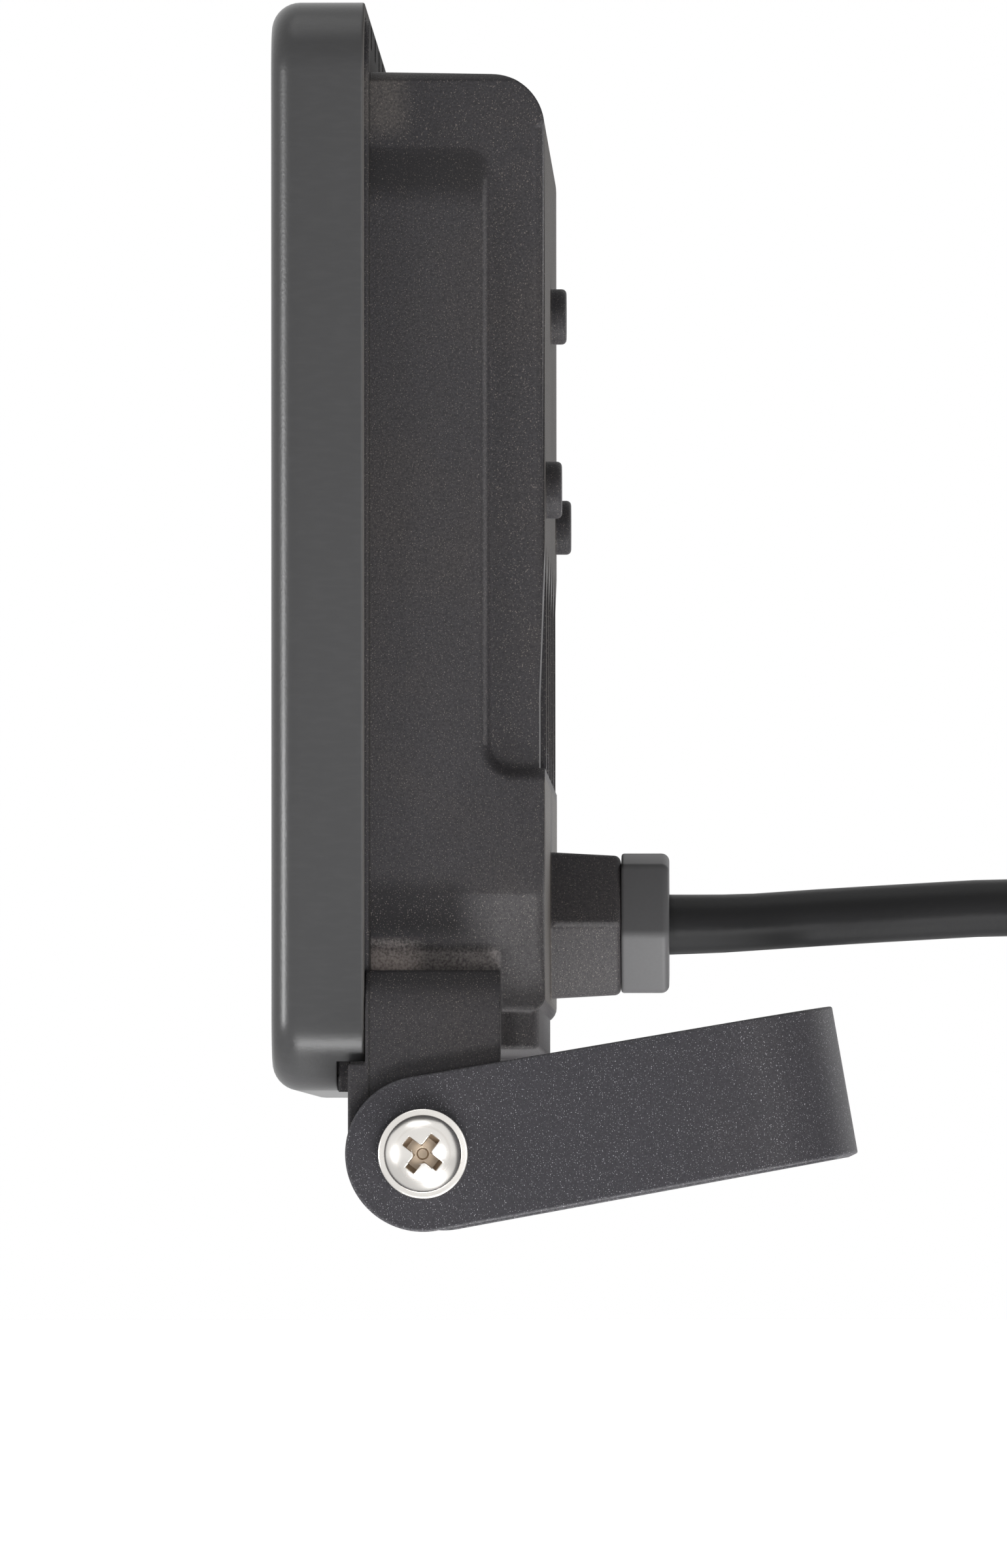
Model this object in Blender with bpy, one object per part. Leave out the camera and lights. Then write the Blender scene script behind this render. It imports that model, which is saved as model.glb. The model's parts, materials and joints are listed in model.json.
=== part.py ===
"""LED flood light: a cast housing with a framed glass front that tilts in a U bracket.

Metres, +Z up, the glass faces -Y. The world origin is the middle of the bracket's wall face.
The head's own frame has its origin on the tilt axis, which runs along X through both ears.
"""

import math

import bmesh
import bpy
from mathutils import Matrix, Vector

# Shared clearances and facet counts
fit_gap = 0.0003
screw_clearance = 0.0003
overrun = 0.002
weld = 0.0005
quarter_steps = 5
round_sides = 24
small_sides = 12
led_quarter_steps = 2

# Front frame
frame_width = 0.160
frame_height = 0.1336
frame_depth = 0.0114
frame_corner = 0.009
frame_front_round = 0.0035
frame_lip_round = 0.0008
frame_wall = 0.0018
frame_lip = 0.0018
frame_border = 0.012
frame_low = 0.0074
frame_rear = -0.0072

# Clips that hold the frame on the flange
clip_count = 6
clip_pitch = 0.025
clip_width = 0.005
clip_thickness = 0.0012
clip_hook = 0.0009
clip_hook_length = 0.001

# Glass, gasket and reflector
glass_thickness = 0.003
glass_edge_chamfer = 0.0003
gasket_thickness = 0.0015
gasket_width = 0.003
reflector_rim = 0.0045
reflector_skin = 0.0008
reflector_depth = 0.0043
reflector_slope_width = 0.0105

# Cast housing
flange_proud = 0.0006
flange_plate = 0.0025
flange_window_margin = 0.001
box_side_margin = 0.0025
box_top_margin = 0.0086
box_bottom_margin = 0.010
box_depth = 0.0214
box_draft = 0.0005
box_top_corner = 0.005
box_rear_round = 0.0065
box_low_round = 0.002
back_edge_chamfer = 0.0016
housing_wall = 0.0025
slope_rise = 0.0143
slope_inset = 0.005

# Raised side panel
panel_step = 0.0012
panel_top_margin = 0.0094
panel_top_ramp = 0.0062
panel_back_margin = 0.0066
panel_back_ramp = 0.0012
panel_corner = 0.0030
panel_shoulder_rise = 0.0154
panel_shoulder_round = 0.0018

# Neck between the ears
neck_side_margin = 0.0065
neck_depth = 0.0206
neck_drop = 0.0046

# Ears
ear_proud = 0.0004
ear_thickness = 0.0045
ear_root_width = 0.0104
ear_front = 0.0092
ear_back = 0.0094
ear_height = 0.0224
ear_step_height = 0.0110
ear_round = 0.0092
ear_top_chamfer = 0.0018
ear_top_ramp = 0.0038
notch_gap = 0.0014
notch_side_gap = 0.0005

# Back of the housing
rib_count = 5
rib_pitch = 0.028
rib_width = 0.005
valley_depth = 0.0007
valley_fade = 0.019
valley_height = 0.009
stud_radius = 0.0035
stud_height = 0.002
stud_round = 0.0006
stud_top_height = 0.1058
stud_low_height = 0.0815
stud_side_margin = 0.0135

# Cable gland
gland_height = 0.029
gland_boss_flat = 0.0184
gland_boss_taper = 0.0005
gland_boss_length = 0.0088
gland_boss_round = 0.0008
gland_neck_radius = 0.0065
gland_neck_length = 0.0036
gland_bore_radius = 0.005
nut_across_flats = 0.0161
nut_length = 0.0061
nut_edge_round = 0.0009
nut_chamfer = 0.0008
nut_mouth_length = 0.0024
nut_mouth_radius = 0.0043
nut_turn = math.radians(8)
seal_wall = 0.0008
seal_length = 0.009

# Lead
lead_diameter = 0.0072
sheath_inside = 0.0035
lead_mouth_flare_share = 1.1
core_diameter = 0.0024
core_spread = 0.0021
core_lay_length = 0.018
ferrule_radius = 0.0016
ferrule_bore_radius = 0.0008
ferrule_length = 0.010

# Bracket
bracket_reach = 0.0522
bracket_width = 0.0183
bracket_plate = 0.002
bracket_bend = 0.013
bracket_end_radius = 0.0095
bracket_rise = math.radians(10)
slot_spacing = 0.060
slot_width = 0.0065
slot_length = 0.012

# Tilt screws and washers
tilt_thread_radius = 0.0025
tilt_head_radius = 0.00475
tilt_head_height = 0.0032
tilt_head_round = 0.0011
tilt_screw_length = 0.0115
tilt_washer_radius = 0.0055
tilt_washer_thickness = 0.001
recess_span = 0.0051
recess_arm = 0.0013
recess_depth = 0.0018
recess_turn = math.radians(40)

# Small screws inside
small_thread_radius = 0.0015
small_head_radius = 0.00275
small_head_height = 0.0020
small_head_round = 0.0006
small_recess_span = 0.0030
small_recess_arm = 0.0007
small_recess_depth = 0.0010
small_screw_bite = 0.005
boss_radius = 0.0034
boss_hole_depth = 0.007

# Mounting plate, LED board and LEDs
plate_thickness = 0.002
plate_margin = 0.0005
plate_screw_inset = 0.0033
board_thickness = 0.0016
led_columns = 4
led_rows = 3
led_pitch = 0.026
led_side = 0.005
led_base_height = 0.0009
led_dome_radius = 0.0021
led_dome_height = 0.0014
led_corner = 0.0006
feed_hole_radius = 0.0032
feed_top_margin = 0.010

# Driver board and its parts, places measured from the board's centre
driver_width = 0.070
driver_top_margin = 0.0174
driver_terminal_gap = 0.0055
feed_start_margin = 0.006
driver_lift = 0.0033
driver_screw_inset = 0.0045
input_capacitor_radius = 0.0045
input_capacitor_height = 0.0085
output_capacitor_radius = 0.0035
output_capacitor_height = 0.0080
transformer_width = 0.018
transformer_height = 0.016
transformer_depth = 0.0088
transformer_window = 0.004
bridge_width = 0.008
bridge_height = 0.006
bridge_depth = 0.0024
chip_width = 0.005
chip_height = 0.006
chip_depth = 0.0018
choke_radius = 0.005
choke_bore = 0.0022
choke_height = 0.006
fuse_radius = 0.0026
fuse_length = 0.010
part_column_share = 0.2857
part_row_share = 0.2667

# Terminal block and earth point
terminal_width = 0.020
terminal_height = 0.011
terminal_depth = 0.0095
terminal_rise = 0.0095
terminal_pitch = 0.010
terminal_wire_radius = 0.0017
terminal_wire_depth = 0.004
terminal_screw_radius = 0.0019
terminal_screw_depth = 0.003
earth_boss_height = 0.004
earth_place = 0.028
earth_ring_radius = 0.0036
earth_ring_thickness = 0.0008
earth_barrel_length = 0.005
earth_barrel_radius = 0.0021
led_lead_radius = 0.0008
led_lead_spacing = 0.0032
led_pad_reach = 0.006
feed_bend = 0.0026
link_bend = 0.0036
link_reach = 0.0120

# The lead's route in the head's frame: straight back, a wide bend, then down (X, Y, Z)
lead_route = [
    (0.0, 0.0302, 0.0290),
    (0.0, 0.0380, 0.0293),
    (0.0, 0.0490, 0.0300),
    (0.0, 0.0610, 0.0307),
    (0.0, 0.0724, 0.0312),
    (0.0, 0.0840, 0.0306),
    (0.0, 0.0950, 0.0278),
    (0.0, 0.1045, 0.0222),
    (0.0, 0.1120, 0.0140),
    (0.0, 0.1172, 0.0036),
    (0.0, 0.1202, -0.0084),
    (0.0, 0.1212, -0.0220),
    (0.0, 0.1208, -0.0380),
    (0.0, 0.1196, -0.0560),
    (0.0, 0.1182, -0.0750),
    (0.0, 0.1170, -0.0940),
    (0.0, 0.1162, -0.1130),
    (0.0, 0.1158, -0.1310),
    (0.0, 0.1156, -0.1470),
    (0.0, 0.1155, -0.1620),
]
lead_point_step = 0.012

# Worked out from the sizes above, in the head's frame
frame_front = frame_rear - frame_depth
frame_middle = frame_low + frame_height / 2
frame_high = frame_low + frame_height
glass_front = frame_front + frame_lip + fit_gap
glass_back = glass_front + glass_thickness
gasket_front = glass_back + fit_gap
gasket_back = gasket_front + gasket_thickness
flange_front = gasket_back + fit_gap
flange_back = frame_rear + flange_proud
box_back = flange_back + box_depth
floor_face = box_back - housing_wall
box_low = frame_low + box_bottom_margin
box_high = frame_high - box_top_margin
box_half = frame_width / 2 - box_side_margin
neck_half = box_half - neck_side_margin
stud_half = box_half - stud_side_margin
ear_face_half = frame_width / 2 + ear_proud
part_column = driver_width * part_column_share
terminal_low = gland_height + terminal_rise
terminal_high = terminal_low + terminal_height
driver_low = terminal_high + driver_terminal_gap
driver_high = box_high - driver_top_margin
driver_height = driver_high - driver_low
driver_middle = (driver_low + driver_high) / 2
part_row_height = driver_height * part_row_share
reflector_back = flange_front - fit_gap
reflector_rear = reflector_back + reflector_depth
board_front = reflector_rear + fit_gap
board_back = board_front + board_thickness
plate_front = board_back + fit_gap
plate_back = plate_front + plate_thickness
flange_inset = frame_wall + fit_gap
clip_inset = flange_inset + fit_gap + weld
glass_inset = clip_inset + clip_thickness + 2 * fit_gap
reflector_inset = glass_inset + gasket_width + 2 * fit_gap
window_inset = reflector_inset + reflector_rim
slope_inset_end = window_inset + reflector_slope_width
plate_inset = window_inset + flange_window_margin + plate_margin
board_inset = plate_inset + plate_screw_inset + small_head_radius + 2 * fit_gap
feed_up = frame_high - board_inset - feed_top_margin
arm_inner = ear_face_half + fit_gap
arm_outer = arm_inner + bracket_plate
boss_end = box_back + gland_boss_length
neck_end = boss_end + gland_neck_length
nut_start = boss_end + fit_gap
nut_end = nut_start + nut_length

# Finishes: colour, roughness, metallic value
finishes = {
    "frame_satin": ((0.080, 0.084, 0.082, 1), 0.38, 0.25),
    "housing_coat": ((0.052, 0.050, 0.052, 1), 0.55, 0.20),
    "bracket_coat": ((0.055, 0.052, 0.057, 1), 0.50, 0.35),
    "nut_plastic": ((0.075, 0.072, 0.070, 1), 0.45, 0.0),
    "lead_rubber": ((0.030, 0.030, 0.031, 1), 0.60, 0.0),
    "seal_rubber": ((0.040, 0.040, 0.042, 1), 0.70, 0.0),
    "clear_glass": ((0.85, 0.90, 0.90, 0.35), 0.05, 0.0),
    "silicone": ((0.75, 0.75, 0.74, 1), 0.60, 0.0),
    "stainless": ((0.78, 0.76, 0.73, 1), 0.25, 1.0),
    "bright_aluminium": ((0.85, 0.86, 0.87, 1), 0.18, 1.0),
    "plain_aluminium": ((0.70, 0.71, 0.72, 1), 0.40, 1.0),
    "white_mask": ((0.88, 0.88, 0.86, 1), 0.45, 0.0),
    "green_mask": ((0.03, 0.22, 0.10, 1), 0.45, 0.0),
    "phosphor": ((0.90, 0.72, 0.16, 1), 0.30, 0.0),
    "black_moulding": ((0.03, 0.03, 0.03, 1), 0.40, 0.0),
    "capacitor_sleeve": ((0.04, 0.05, 0.09, 1), 0.35, 0.0),
    "winding_tape": ((0.80, 0.62, 0.10, 1), 0.45, 0.0),
    "terminal_nylon": ((0.82, 0.82, 0.80, 1), 0.50, 0.0),
    "core_brown": ((0.20, 0.08, 0.03, 1), 0.45, 0.0),
    "core_blue": ((0.03, 0.12, 0.45, 1), 0.45, 0.0),
    "core_green": ((0.20, 0.42, 0.05, 1), 0.45, 0.0),
    "core_red": ((0.55, 0.03, 0.03, 1), 0.45, 0.0),
    "core_black": ((0.03, 0.03, 0.03, 1), 0.45, 0.0),
    "tinned": ((0.72, 0.70, 0.66, 1), 0.30, 1.0),
}


def clear_scene():
    for item in list(bpy.data.objects):
        bpy.data.objects.remove(item, do_unlink=True)


def material(name):
    found = bpy.data.materials.get(name)
    if found:
        return found
    colour, roughness, metallic = finishes[name]
    made = bpy.data.materials.new(name)
    made.use_nodes = True
    shader = made.node_tree.nodes["Principled BSDF"]
    shader.inputs["Base Color"].default_value = colour
    shader.inputs["Roughness"].default_value = roughness
    shader.inputs["Metallic"].default_value = metallic
    return made


def empty(name, location, turn=(0, 0, 0)):
    made = bpy.data.objects.new(name, None)
    made.location = location
    made.rotation_euler = turn
    bpy.context.collection.objects.link(made)
    return made


def add_mesh(name, shape, finish, parent, place=(0, 0, 0), turn=(0, 0, 0)):
    """A new object from a bmesh, smooth on its round faces."""
    bmesh.ops.recalc_face_normals(shape, faces=shape.faces)
    mesh = bpy.data.meshes.new(name)
    shape.to_mesh(mesh)
    shape.free()
    return add_copy(name, mesh, finish, parent, place, turn)


def add_copy(name, mesh, finish, parent, place=(0, 0, 0), turn=(0, 0, 0)):
    mesh.shade_smooth()
    mesh.set_sharp_from_angle(angle=math.radians(35))
    made = bpy.data.objects.new(name, mesh)
    if not mesh.materials:
        mesh.materials.append(material(finish))
    made.parent = parent
    made.location = place
    made.rotation_euler = turn
    bpy.context.collection.objects.link(made)
    return made


def boolean(target, other, operation="DIFFERENCE"):
    """Cuts, joins or intersects, and turns the other shape into a hidden guide."""
    other.hide_render = True
    other.display_type = "WIRE"
    step = target.modifiers.new(other.name, "BOOLEAN")
    step.operation = operation
    step.solver = "EXACT"
    step.object = other
    return target


def join(target, *others):
    for other in others:
        boolean(target, other, "UNION")


def cut(target, *others):
    for other in others:
        boolean(target, other)


def rounded_outline(corners, quarter=quarter_steps):
    """A closed counter-clockwise outline through (across, up, radius) corners."""
    points = []
    for i, (across, up, radius) in enumerate(corners):
        here = Vector((across, up))
        back = (Vector(corners[i - 1][:2]) - here).normalized()
        ahead = (Vector(corners[(i + 1) % len(corners)][:2]) - here).normalized()
        half = math.acos(max(-1, min(1, back.dot(ahead)))) / 2
        if not radius or half > math.radians(89):
            points.append(here)
            continue
        turn = math.pi - 2 * half
        if back.x * ahead.y - back.y * ahead.x > 0:
            turn = -turn
        centre = here + (back + ahead).normalized() * (radius / math.sin(half))
        arm = here + back * (radius / math.tan(half)) - centre
        steps = max(2, round(quarter * abs(turn) / (math.pi / 2)))
        for step in range(steps + 1):
            points.append(centre + Matrix.Rotation(turn * step / steps, 2) @ arm)
    return points


def frame_outline(inset, corner_floor=0):
    """The front frame's outline, moved inwards."""
    half = frame_width / 2 - inset
    low = frame_low + inset
    high = frame_high - inset
    radius = max(frame_corner - inset, corner_floor)
    return rounded_outline(
        [(half, low, radius), (half, high, radius), (-half, high, radius), (-half, low, radius)]
    )


def inset_outline(outline, distance):
    """A counter-clockwise outline moved inwards by one distance."""
    moved = []
    for i, here in enumerate(outline):
        before = (here - outline[i - 1]).normalized()
        after = (outline[(i + 1) % len(outline)] - here).normalized()
        first = Vector((-before.y, before.x))
        second = Vector((-after.y, after.x))
        middle = (first + second).normalized()
        moved.append(here + middle * (distance / middle.dot(second)))
    return moved


def polygon(radius, sides, phase=0):
    step = 2 * math.pi / sides
    return [
        Vector((radius * math.cos(phase + step * i), radius * math.sin(phase + step * i)))
        for i in range(sides)
    ]


def on_axis(axis, point, level):
    """A point of an outline, placed at a level along an axis."""
    across, up = point
    if axis == "X":
        return Vector((level, across, up))
    if axis == "Y":
        return Vector((across, level, up))
    return Vector((across, up, level))


def loft(shape, axis, levels, looped=False):
    """Joins outlines of equal point counts, each at its level, into one closed body."""
    rings = [
        [shape.verts.new(on_axis(axis, point, level)) for point in outline]
        for outline, level in levels
    ]
    pairs = list(zip(rings, rings[1:]))
    if looped:
        pairs.append((rings[-1], rings[0]))
    else:
        shape.faces.new(rings[0])
        shape.faces.new(rings[-1])
    for low, high in pairs:
        for i in range(len(low)):
            shape.faces.new((low[i - 1], low[i], high[i], high[i - 1]))


def lofted(name, axis, levels, finish, parent, looped=False, place=(0, 0, 0), turn=(0, 0, 0)):
    shape = bmesh.new()
    loft(shape, axis, levels, looped)
    return add_mesh(name, shape, finish, parent, place, turn)


def prism(name, axis, outline, low, high, finish, parent):
    return lofted(name, axis, [(outline, low), (outline, high)], finish, parent)


def boxes(name, corners, finish, parent):
    """One shape of separate boxes, each given by its low and high corner."""
    shape = bmesh.new()
    for low, high in corners:
        size = Vector(high) - Vector(low)
        middle = (Vector(high) + Vector(low)) / 2
        matrix = Matrix.Translation(middle) @ Matrix.Diagonal((*size, 1))
        bmesh.ops.create_cube(shape, size=1, matrix=matrix)
    return add_mesh(name, shape, finish, parent)


def turned(name, profile, sides, finish, parent, place=(0, 0, 0), turn=(0, 0, 0), looped=False):
    """A turned piece along its own Z from (radius, height) pairs."""
    levels = [(polygon(radius, sides), height) for radius, height in profile]
    return lofted(name, "Z", levels, finish, parent, looped, place, turn)


def tube(name, points, radius, finish, parent, resolution=2, factors=None):
    """A round tube along points, as a curve with filled caps."""
    curve = bpy.data.curves.new(name, "CURVE")
    curve.dimensions = "3D"
    curve.bevel_depth = radius
    curve.bevel_resolution = resolution
    curve.use_fill_caps = True
    line = curve.splines.new("POLY")
    line.points.add(len(points) - 1)
    for i, point in enumerate(points):
        line.points[i].co = (*point, 1)
        line.points[i].radius = factors[i] if factors else 1
    curve.materials.append(material(finish))
    made = bpy.data.objects.new(name, curve)
    made.parent = parent
    bpy.context.collection.objects.link(made)
    return made


def smooth_route(route, step):
    """Points at an even step along a smooth curve through the route's own points."""
    route = [Vector(point) for point in route]
    ends = [2 * route[0] - route[1], *route, 2 * route[-1] - route[-2]]
    fine = []
    share_count = 16
    for before, here, there, after in zip(ends, ends[1:], ends[2:], ends[3:]):
        for i in range(share_count):
            share = i / share_count
            fine.append(
                0.5
                * (
                    2 * here
                    + (there - before) * share
                    + (2 * before - 5 * here + 4 * there - after) * share**2
                    + (3 * here - before - 3 * there + after) * share**3
                )
            )
    fine.append(route[-1])
    total = sum((b - a).length for a, b in zip(fine, fine[1:]))
    count = max(2, round(total / step))
    points = [fine[0]]
    walked = 0
    for a, b in zip(fine, fine[1:]):
        length = (b - a).length
        while len(points) < count and walked + length >= total * len(points) / count:
            points.append(a.lerp(b, (total * len(points) / count - walked) / length))
        walked += length
    points.append(fine[-1])
    return points


def facing(direction):
    """The turn that points a turned piece's Z along a direction."""
    return Vector(direction).to_track_quat("Z", "Y").to_euler()


def cross_outline(span, arm):
    """A plus sign with four equal arms, counter-clockwise."""
    s, a = span / 2, arm / 2
    corner = [Vector((s, -a)), Vector((s, a)), Vector((a, a))]
    return [Matrix.Rotation(math.pi / 2 * i, 2) @ point for i in range(4) for point in corner]


def pan_screw(name, sizes, length, parent, place, direction, spin=0, sides=small_sides):
    """A pan-head screw with a cross recess. Its place is under the head, and it points outwards."""
    thread, head, height, edge, span, arm, depth = sizes
    profile = [
        (thread - thread / 4, -length),
        (thread, thread / 4 - length),
        (thread, 0),
        (head, 0),
        (head, height / 3),
        (head - edge / 3, (height + height / 3) / 2),
        (head - edge, height - edge / 3),
        (head / 2, height),
    ]
    turn = facing(direction)
    screw = turned(name, profile, sides, "stainless", parent, place, turn)
    outline = [Matrix.Rotation(spin, 2) @ point for point in cross_outline(span, arm)]
    levels = [(inset_outline(outline, arm / 6), height - depth), (outline, height), (outline, height + depth)]
    cut(screw, lofted(name + "_recess", "Z", levels, "stainless", parent, place=place, turn=turn))
    return screw


def hex_outline(across_flats, edge_round, turn=0):
    """A hexagon with a corner on +X before it turns, its corners slightly rounded."""
    corners = polygon(across_flats / math.sqrt(3), 6, turn)
    return rounded_outline([(point.x, point.y, edge_round) for point in corners])


def shifted(outline, across, up):
    return [point + Vector((across, up)) for point in outline]


clear_scene()

# The tilt axis stands off the wall along the bracket's arms.
tilt_axis = Vector((0, -bracket_reach * math.cos(bracket_rise), -bracket_reach * math.sin(bracket_rise)))
head = empty("head_axis", tilt_axis)
bracket_frame = empty("bracket_axis", tilt_axis, (bracket_rise, 0, 0))

tilt_sizes = (
    tilt_thread_radius,
    tilt_head_radius,
    tilt_head_height,
    tilt_head_round,
    recess_span,
    recess_arm,
    recess_depth,
)
small_sizes = (
    small_thread_radius,
    small_head_radius,
    small_head_height,
    small_head_round,
    small_recess_span,
    small_recess_arm,
    small_recess_depth,
)


def make_bracket():
    """Flat steel bent to a U, round at the two screw ends, with two slots in its base."""
    outer = rounded_outline(
        [
            (arm_outer, -bracket_width, 0),
            (arm_outer, bracket_reach, bracket_bend),
            (-arm_outer, bracket_reach, bracket_bend),
            (-arm_outer, -bracket_width, 0),
        ]
    )
    inner = rounded_outline(
        [
            (arm_inner, -bracket_width - overrun, 0),
            (arm_inner, bracket_reach - bracket_plate, bracket_bend - bracket_plate),
            (-arm_inner, bracket_reach - bracket_plate, bracket_bend - bracket_plate),
            (-arm_inner, -bracket_width - overrun, 0),
        ]
    )
    half = bracket_width / 2
    strip = prism("bracket", "Z", outer, -half, half, "bracket_coat", bracket_frame)
    strip_hollow = prism(
        "bracket_hollow", "Z", inner, -half - overrun, half + overrun, "bracket_coat", bracket_frame
    )
    cut(strip, strip_hollow)

    # Side outline: a round end that is a little wider than the arm
    meet = math.asin(half / bracket_end_radius)
    steps = 4 * quarter_steps
    start, sweep = meet, 2 * math.pi - 2 * meet
    side = [
        Vector((math.cos(start + sweep * i / steps), math.sin(start + sweep * i / steps)))
        * bracket_end_radius
        for i in range(steps + 1)
    ]
    far = bracket_reach + overrun
    side = [Vector((far, half)), *side, Vector((far, -half))]
    reach = arm_outer + overrun
    ends = prism("bracket_side", "X", side, -reach, reach, "bracket_coat", bracket_frame)
    boolean(strip, ends, "INTERSECT")

    axle_hole = polygon(tilt_thread_radius + screw_clearance, small_sides)
    cut(strip, prism("bracket_axle_holes", "X", axle_hole, -reach, reach, "bracket_coat", bracket_frame))
    for side_sign in (-1, 1):
        middle = side_sign * slot_spacing / 2
        slot = rounded_outline(
            [
                (middle + slot_length / 2, -slot_width / 2, slot_width / 2 - weld / 2),
                (middle + slot_length / 2, slot_width / 2, slot_width / 2 - weld / 2),
                (middle - slot_length / 2, slot_width / 2, slot_width / 2 - weld / 2),
                (middle - slot_length / 2, -slot_width / 2, slot_width / 2 - weld / 2),
            ]
        )
        low = bracket_reach - bracket_plate - overrun
        cut(strip, prism("bracket_slot", "Y", slot, low, far, "bracket_coat", bracket_frame))


def make_tilt_screws():
    """A screw and a flat washer on each side; the screws also make the hinge pins."""
    for side, sign in (("right", 1), ("left", -1)):
        washer_seat = arm_outer + fit_gap
        head_seat = washer_seat + tilt_washer_thickness + fit_gap
        bore = tilt_thread_radius + screw_clearance
        turned(
            "tilt_washer_" + side,
            [
                (bore, 0),
                (bore, tilt_washer_thickness),
                (tilt_washer_radius, tilt_washer_thickness),
                (tilt_washer_radius, 0),
            ],
            round_sides,
            "stainless",
            head,
            (sign * washer_seat, 0, 0),
            facing((sign, 0, 0)),
            looped=True,
        )
        pan_screw(
            "tilt_screw_" + side,
            tilt_sizes,
            tilt_screw_length,
            head,
            (sign * head_seat, 0, 0),
            (sign, 0, 0),
            recess_turn,
            round_sides,
        )


def clip_places():
    return [(i - (clip_count - 1) / 2) * clip_pitch for i in range(clip_count)]


def make_front_frame():
    """The bezel: one loft round the glass, with clips behind it and a notch for each ear."""
    lip_back = frame_front + frame_lip
    angles = [math.pi / 2 * i / quarter_steps for i in range(quarter_steps + 1)]
    front_arc = [
        (
            frame_front_round * (1 - math.cos(angle)),
            frame_front + frame_front_round * (1 - math.sin(angle)),
        )
        for angle in angles
    ]
    section = [
        (frame_wall, frame_rear),
        (0, frame_rear),
        *front_arc,
        (frame_border - frame_lip_round, frame_front),
        (frame_border, frame_front + frame_lip_round),
        (frame_border, lip_back),
        (frame_wall, lip_back),
    ]
    corner_floor = frame_lip_round
    levels = [(frame_outline(inset, corner_floor), level) for inset, level in section]
    frame = lofted("front_frame", "Y", levels, "frame_satin", head, looped=True)
    for place in clip_places():
        for edge, inwards in ((frame_low, 1), (frame_high, -1)):
            outer = edge + inwards * clip_inset
            inner = outer + inwards * clip_thickness
            tip = flange_back + fit_gap + clip_hook_length
            hook_edge = inner + inwards * clip_hook
            outline = [
                Vector((lip_back - weld, outer)),
                Vector((tip, outer)),
                Vector((tip, inner)),
                Vector((flange_back + fit_gap, hook_edge)),
                Vector((flange_back + fit_gap, inner)),
                Vector((lip_back - weld, inner)),
            ]
            half = clip_width / 2
            join(frame, prism("frame_clip", "X", outline, place - half, place + half, "frame_satin", head))
    notch_side = ear_face_half - ear_thickness - notch_side_gap
    notch_front = -ear_front - notch_gap
    notch_top = ear_step_height + fit_gap
    far = frame_width / 2 + overrun
    notches = [
        ((notch_side, notch_front, frame_low - overrun), (far, frame_rear + overrun, notch_top)),
        ((-far, notch_front, frame_low - overrun), (-notch_side, frame_rear + overrun, notch_top)),
    ]
    cut(frame, boxes("frame_notches", notches, "frame_satin", head))


def make_glass_and_gasket():
    edge = frame_outline(glass_inset)
    inner = inset_outline(edge, glass_edge_chamfer)
    lofted(
        "front_glass",
        "Y",
        [
            (inner, glass_front),
            (edge, glass_front + glass_edge_chamfer),
            (edge, glass_back - glass_edge_chamfer),
            (inner, glass_back),
        ],
        "clear_glass",
        head,
    )
    section = [
        (glass_inset, gasket_front),
        (glass_inset + gasket_width, gasket_front),
        (glass_inset + gasket_width, gasket_back),
        (glass_inset, gasket_back),
    ]
    levels = [(frame_outline(inset, fit_gap), level) for inset, level in section]
    lofted("glass_gasket", "Y", levels, "silicone", head, looped=True)


def make_reflector():
    """A pressed sheet: a flat rim on the flange and slopes down to the LED board."""
    section = [
        (reflector_inset, reflector_back - reflector_skin),
        (window_inset, reflector_back - reflector_skin),
        (slope_inset_end, reflector_rear - reflector_skin),
        (slope_inset_end, reflector_rear),
        (window_inset, reflector_back),
        (reflector_inset, reflector_back),
    ]
    levels = [(frame_outline(inset, fit_gap), level) for inset, level in section]
    lofted("reflector", "Y", levels, "bright_aluminium", head, looped=True)


def box_outline():
    """The housing box from the front: round top corners, and lower walls that slope inwards."""
    half = box_half - panel_step
    step_rise = slope_rise * (slope_inset - panel_step) / slope_inset
    foot = box_half - slope_inset
    return rounded_outline(
        [
            (foot, box_low, 0),
            (half, box_low + step_rise, 0),
            (half, box_high, box_top_corner),
            (-half, box_high, box_top_corner),
            (-half, box_low + step_rise, 0),
            (-foot, box_low, 0),
        ]
    )


def box_side(front):
    """The housing box from the side: a large round at the top of its back, a small one below."""
    return rounded_outline(
        [
            (front, box_low, 0),
            (box_back, box_low, box_low_round),
            (box_back, box_high - box_draft, box_rear_round),
            (front, box_high, 0),
        ]
    )


def panel_outline(top, back, shoulder, foot):
    """The raised side panel, which widens to the housing's back below its shoulder."""
    front = flange_back - weld
    crease = box_low + foot
    return rounded_outline(
        [
            (front, crease, 0),
            (box_back, crease, 0),
            (box_back, shoulder, panel_shoulder_round),
            (back, shoulder, panel_corner),
            (back, top, panel_corner),
            (front, top, 0),
        ]
    )


def make_side_panel(name, sign):
    base = box_half - panel_step - weld
    step_foot = slope_rise * (slope_inset - panel_step - weld) / slope_inset
    shoulder = box_low + slope_rise + panel_shoulder_rise
    top = box_high - panel_top_margin
    back = box_back - panel_back_margin
    low = panel_outline(top, back, shoulder, step_foot)
    high = panel_outline(top - panel_top_ramp, back - panel_back_ramp, shoulder - panel_back_ramp, slope_rise)
    return lofted(name, "X", [(low, sign * base), (high, sign * box_half)], "housing_coat", head)


def make_back_edge(name, sign):
    """The cutter that takes the sharp corner off the housing's upright back edge."""
    outline = [
        (sign * box_half, box_back - back_edge_chamfer),
        (sign * (box_half + overrun), box_back - back_edge_chamfer - overrun),
        (sign * (box_half + overrun), box_back + overrun),
        (sign * (box_half - back_edge_chamfer - overrun), box_back + overrun),
    ]
    outline = [Vector(point) for point in outline]
    if sign < 0:
        outline.reverse()
    low, high = box_low - overrun, box_high + overrun
    return prism(name, "Z", outline, low, high, "housing_coat", head)


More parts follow.
